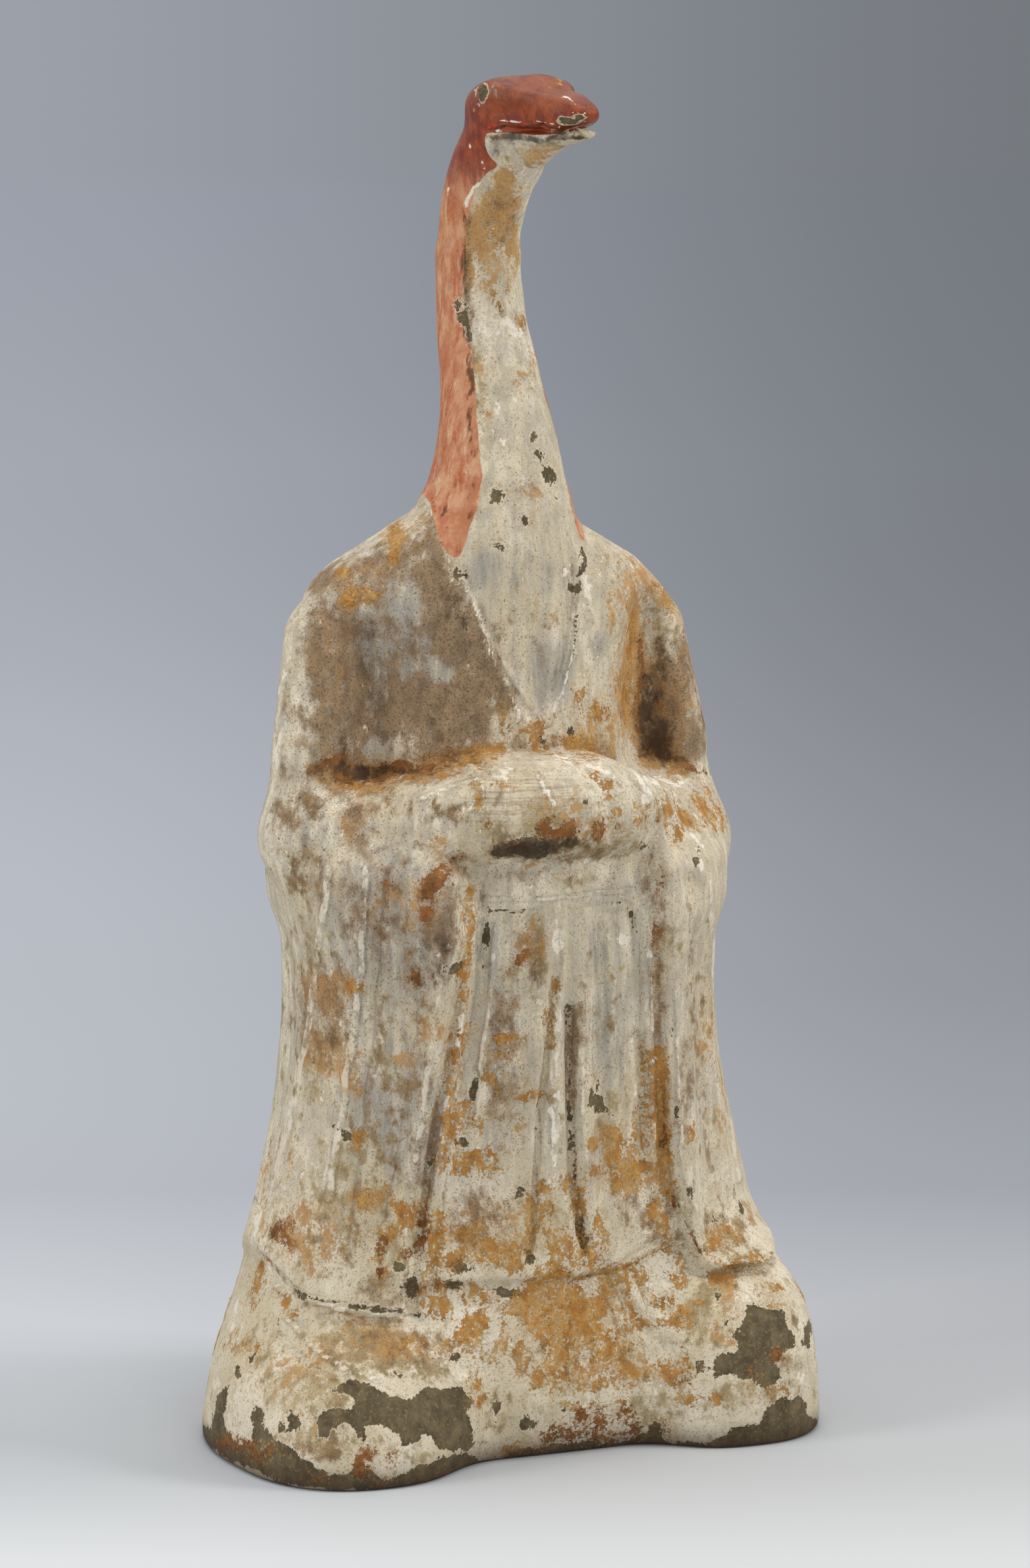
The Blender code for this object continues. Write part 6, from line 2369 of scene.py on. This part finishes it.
@dataclass
class Figure:
    """The figure, one piece of earthenware: its finer skin, its marks and its dressing."""

    form: Form
    view: View
    skin: Skin
    crumbs: Crumbs
    foot_blend: float = 3.0

    def build(self) -> bpy.types.Object:
        """Skins the form, adds the finer relief and stores the layers.

        Returns:
            The piece.
        """
        points, faces = self.skin.mesh(self.form)
        mesh = bpy.data.meshes.new(NODE)
        mesh.from_pydata(points.tolist(), [], faces)
        normals = np.zeros(len(points) * 3)
        mesh.vertex_normals.foreach_get("vector", normals)
        normals = normals.reshape(-1, 3)
        surface = Surface(self.form, self.view)
        layers = surface.read(points, normals)
        height = surface.relief(points, layers, self.view.facing(points, normals))
        height = height * ease(points[:, 2], 0, self.foot_blend)
        points = (points + normals * height[:, None] - (0, FOOT_BEHIND, 0)) * PART
        low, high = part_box(NODE)
        points = np.clip(points, np.array(low), np.array(high))
        mesh.vertices.foreach_set("co", points.astype(np.float32).ravel())
        for layer, values in layers.items():
            attribute = mesh.attributes.new(layer.value, "FLOAT", "POINT")
            attribute.data.foreach_set("value", np.asarray(values, np.float32))
        mesh.update()
        mesh.shade_smooth()
        piece = bpy.data.objects.new("zodiac_snake_skin", mesh)
        bpy.context.scene.collection.objects.link(piece)
        return piece

    def dress(self, piece: bpy.types.Object, material: bpy.types.Material) -> None:
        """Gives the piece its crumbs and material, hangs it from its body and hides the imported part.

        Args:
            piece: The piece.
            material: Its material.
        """
        piece.data.materials.append(material)
        self.crumbs.scatter(piece, material)
        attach(piece, BODY)
        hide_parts(NODE)
        log.info("%s: %d points, %d faces", piece.name, len(piece.data.vertices), len(piece.data.polygons))


@dataclass(frozen=True)
class Lamp:
    """A soft light: where it hangs from the camera's side, in metres, its size and its power.

    The place is to the camera's right, towards the camera and up from the figure's foot.
    """

    name: str
    place: Point
    size: float
    power: float
    colour: Point = (1.0, 1.0, 1.0)
    aim: float = 0.15

    def hang(self, view: View) -> None:
        """Makes the light and turns it to the figure.

        Args:
            view: The view, from whose side the light is placed.
        """
        light = bpy.data.lights.new(self.name, "AREA")
        light.energy, light.size, light.color = self.power, self.size, self.colour
        holder = bpy.data.objects.new(self.name, light)
        right, _, back = view.axes()
        level = np.array((back[0], back[1], 0.0)) / math.hypot(back[0], back[1])
        place = right * self.place[0] + level * self.place[1] + np.array((0, 0, self.place[2]))
        holder.location = place
        towards = Vector(place.tolist()) - Vector((0, 0, self.aim))
        holder.rotation_euler = towards.to_track_quat("Z", "Y").to_euler()
        bpy.context.scene.collection.objects.link(holder)


@dataclass
class Studio:
    """Floor, light and backdrop; the floor's colour is painted light and shadow, pale in front and greyer
    far off and to the right.

    Each tone gives a distance behind the figure in metres and the floor's colour at the left and
    the right of the frame, out of 255. The sky's two colours are those at the left and the right
    just over the floor's edge, and the overhead light's are those before and behind the figure.
    """

    view: View
    floor_half: float = 60.0
    floor_front: float = -0.15
    near: float = 0.2
    spread: float = 0.138
    sky_turns: Point = (-0.6, 0.6)
    sky_ends: Point = (0.05, 0.5)
    # Painted light and shadow: the darker band near the foot is the figure's painted shadow, and the greyer
    # right and far tones paint how the light falls off.
    tones: tuple[tuple[float, Point, Point], ...] = (
        (-0.10, (206, 208, 209), (202, 203, 203)),
        (-0.04, (182, 185, 187), (184, 185, 185)),
        (0.06, (196, 199, 202), (178, 179, 181)),
        (0.23, (179, 182, 187), (153, 156, 161)),
        (0.53, (193, 196, 202), (149, 152, 157)),
        (1.24, (218, 221, 229), (161, 163, 168)),
        (3.15, (234, 237, 244), (173, 176, 181)),
        (25.0, (226, 231, 240), (168, 172, 177)),
        (60.0, (225, 229, 236), (170, 173, 176)),
    )
    sky: tuple[Point, Point] = ((156, 161, 170), (117, 121, 126))
    overhead: tuple[Point, Point] = ((158, 160, 164), (206, 208, 212))
    lamps: tuple[Lamp, ...] = (
        Lamp("left", (-1.1, 0.5, 0.62), 0.4, 6.5, (1.0, 0.985, 0.96)),
        Lamp("right", (1.15, 0.2, 0.75), 0.35, 7.6, (1.0, 0.985, 0.97)),
        Lamp("top", (0.05, 0.1, 1.3), 0.5, 6.8),
        Lamp("low", (0.3, 1.2, 0.3), 0.4, 2.5, (1.0, 0.985, 0.96), 0.05),
    )

    def side(self, sheet: Sheet, where: bpy.types.NodeSocket) -> bpy.types.NodeSocket:
        """Reads how far to the right of the frame a direction lies.

        Args:
            sheet: The sheet to add to.
            where: The direction from the camera.

        Returns:
            A value from 0 at the left to 1 at the right.
        """
        right, _, _ = self.view.axes()
        unit = sheet.add("ShaderNodeVectorMath", {0: where}, operation="NORMALIZE").outputs[0]
        inputs = {0: unit, 1: tuple(right.tolist())}
        across = sheet.add("ShaderNodeVectorMath", inputs, operation="DOT_PRODUCT").outputs["Value"]
        return sheet.rise(across, -self.spread, self.spread)

    def floor(self) -> bpy.types.Object:
        """Makes the floor, whose colour carries painted light and a painted shadow.

        Returns:
            The floor's object.
        """
        half = self.floor_half
        mesh = bpy.data.meshes.new("floor")
        edge = [(-half, -half, 0), (half, -half, 0), (half, half, 0), (-half, half, 0)]
        mesh.from_pydata(edge, [], [(0, 1, 2, 3)])
        floor = bpy.data.objects.new("floor", mesh)
        bpy.context.scene.collection.objects.link(floor)
        material = bpy.data.materials.new("pale floor")
        material.use_nodes = True
        sheet = Sheet(material.node_tree)
        where = sheet.add("ShaderNodeTexCoord", {}).outputs["Object"]
        eye = tuple(((self.view.place() - np.array((0, FOOT_BEHIND, 0))) * PART).tolist())
        ray = sheet.add("ShaderNodeVectorMath", {0: where, 1: eye}, operation="SUBTRACT").outputs[0]
        _, _, back = self.view.axes()
        level = np.array((back[0], back[1], 0.0)) / math.hypot(back[0], back[1])
        inputs = {0: where, 1: tuple((-level).tolist())}
        behind = sheet.add("ShaderNodeVectorMath", inputs, operation="DOT_PRODUCT").outputs["Value"]
        behind = sheet.math("MAXIMUM", behind, self.floor_front)
        far = sheet.math("ADD", behind, 1 + self.near)
        share = sheet.math("DIVIDE", sheet.math("ADD", behind, self.near), far)
        ramps = []
        # The floor's colour is painted light and shadow, read by distance and side.
        for column in (1, 2):
            ramp = sheet.add("ShaderNodeValToRGB", {0: share})
            stops = ramp.color_ramp.elements
            while len(stops) < len(self.tones):
                stops.new(0.5)
            for stop, tone in zip(stops, self.tones):
                stop.position = (tone[0] + self.near) / (tone[0] + 1 + self.near)
                stop.color = linear(tone[column])
            ramps.append(ramp.outputs[0])
        colour = sheet.mix(self.side(sheet, ray), *ramps)
        shader = material.node_tree.nodes["Principled BSDF"]
        material.node_tree.links.new(colour, shader.inputs["Base Color"])
        shader.inputs["Roughness"].default_value = 1.0
        shader.inputs["Specular IOR Level"].default_value = 0.0
        mesh.materials.append(material)
        return floor

    def backdrop(self) -> None:
        """Makes the far backdrop above the floor's edge and the soft light from overhead."""
        world = bpy.data.worlds.new("studio")
        bpy.context.scene.world = world
        world.use_nodes = True
        sheet = Sheet(world.node_tree)
        where = sheet.add("ShaderNodeTexCoord", {}).outputs["Generated"]
        low = sheet.mix(self.side(sheet, where), *(linear(tone) for tone in self.sky))
        up = sheet.add("ShaderNodeSeparateXYZ", {0: where}).outputs[2]
        _, _, back = self.view.axes()
        inputs = {0: where, 1: tuple(back.tolist())}
        nearer = sheet.add("ShaderNodeVectorMath", inputs, operation="DOT_PRODUCT").outputs["Value"]
        before, behind = (linear(tone) for tone in self.overhead)
        high = sheet.mix(sheet.rise(nearer, *self.sky_turns), behind, before)
        colour = sheet.mix(sheet.rise(up, *self.sky_ends), low, high)
        world.node_tree.links.new(colour, world.node_tree.nodes["Background"].inputs[0])

    def build(self) -> None:
        """Makes the floor, the backdrop, the lights and the camera."""
        self.floor()
        self.backdrop()
        for lamp in self.lamps:
            lamp.hang(self.view)
        self.view.make()
        bpy.context.scene.view_settings.view_transform = "Standard"
        log.info("studio: floor, backdrop, %d lights, camera", len(self.lamps))


def main() -> None:
    """Builds the figure and the studio."""
    view = View()
    figure = Figure(Form(), view, Skin(), Crumbs())
    piece = figure.build()
    figure.dress(piece, Earthenware(Effects()).build())
    Studio(view).build()


if __name__ == "__main__":
    main()
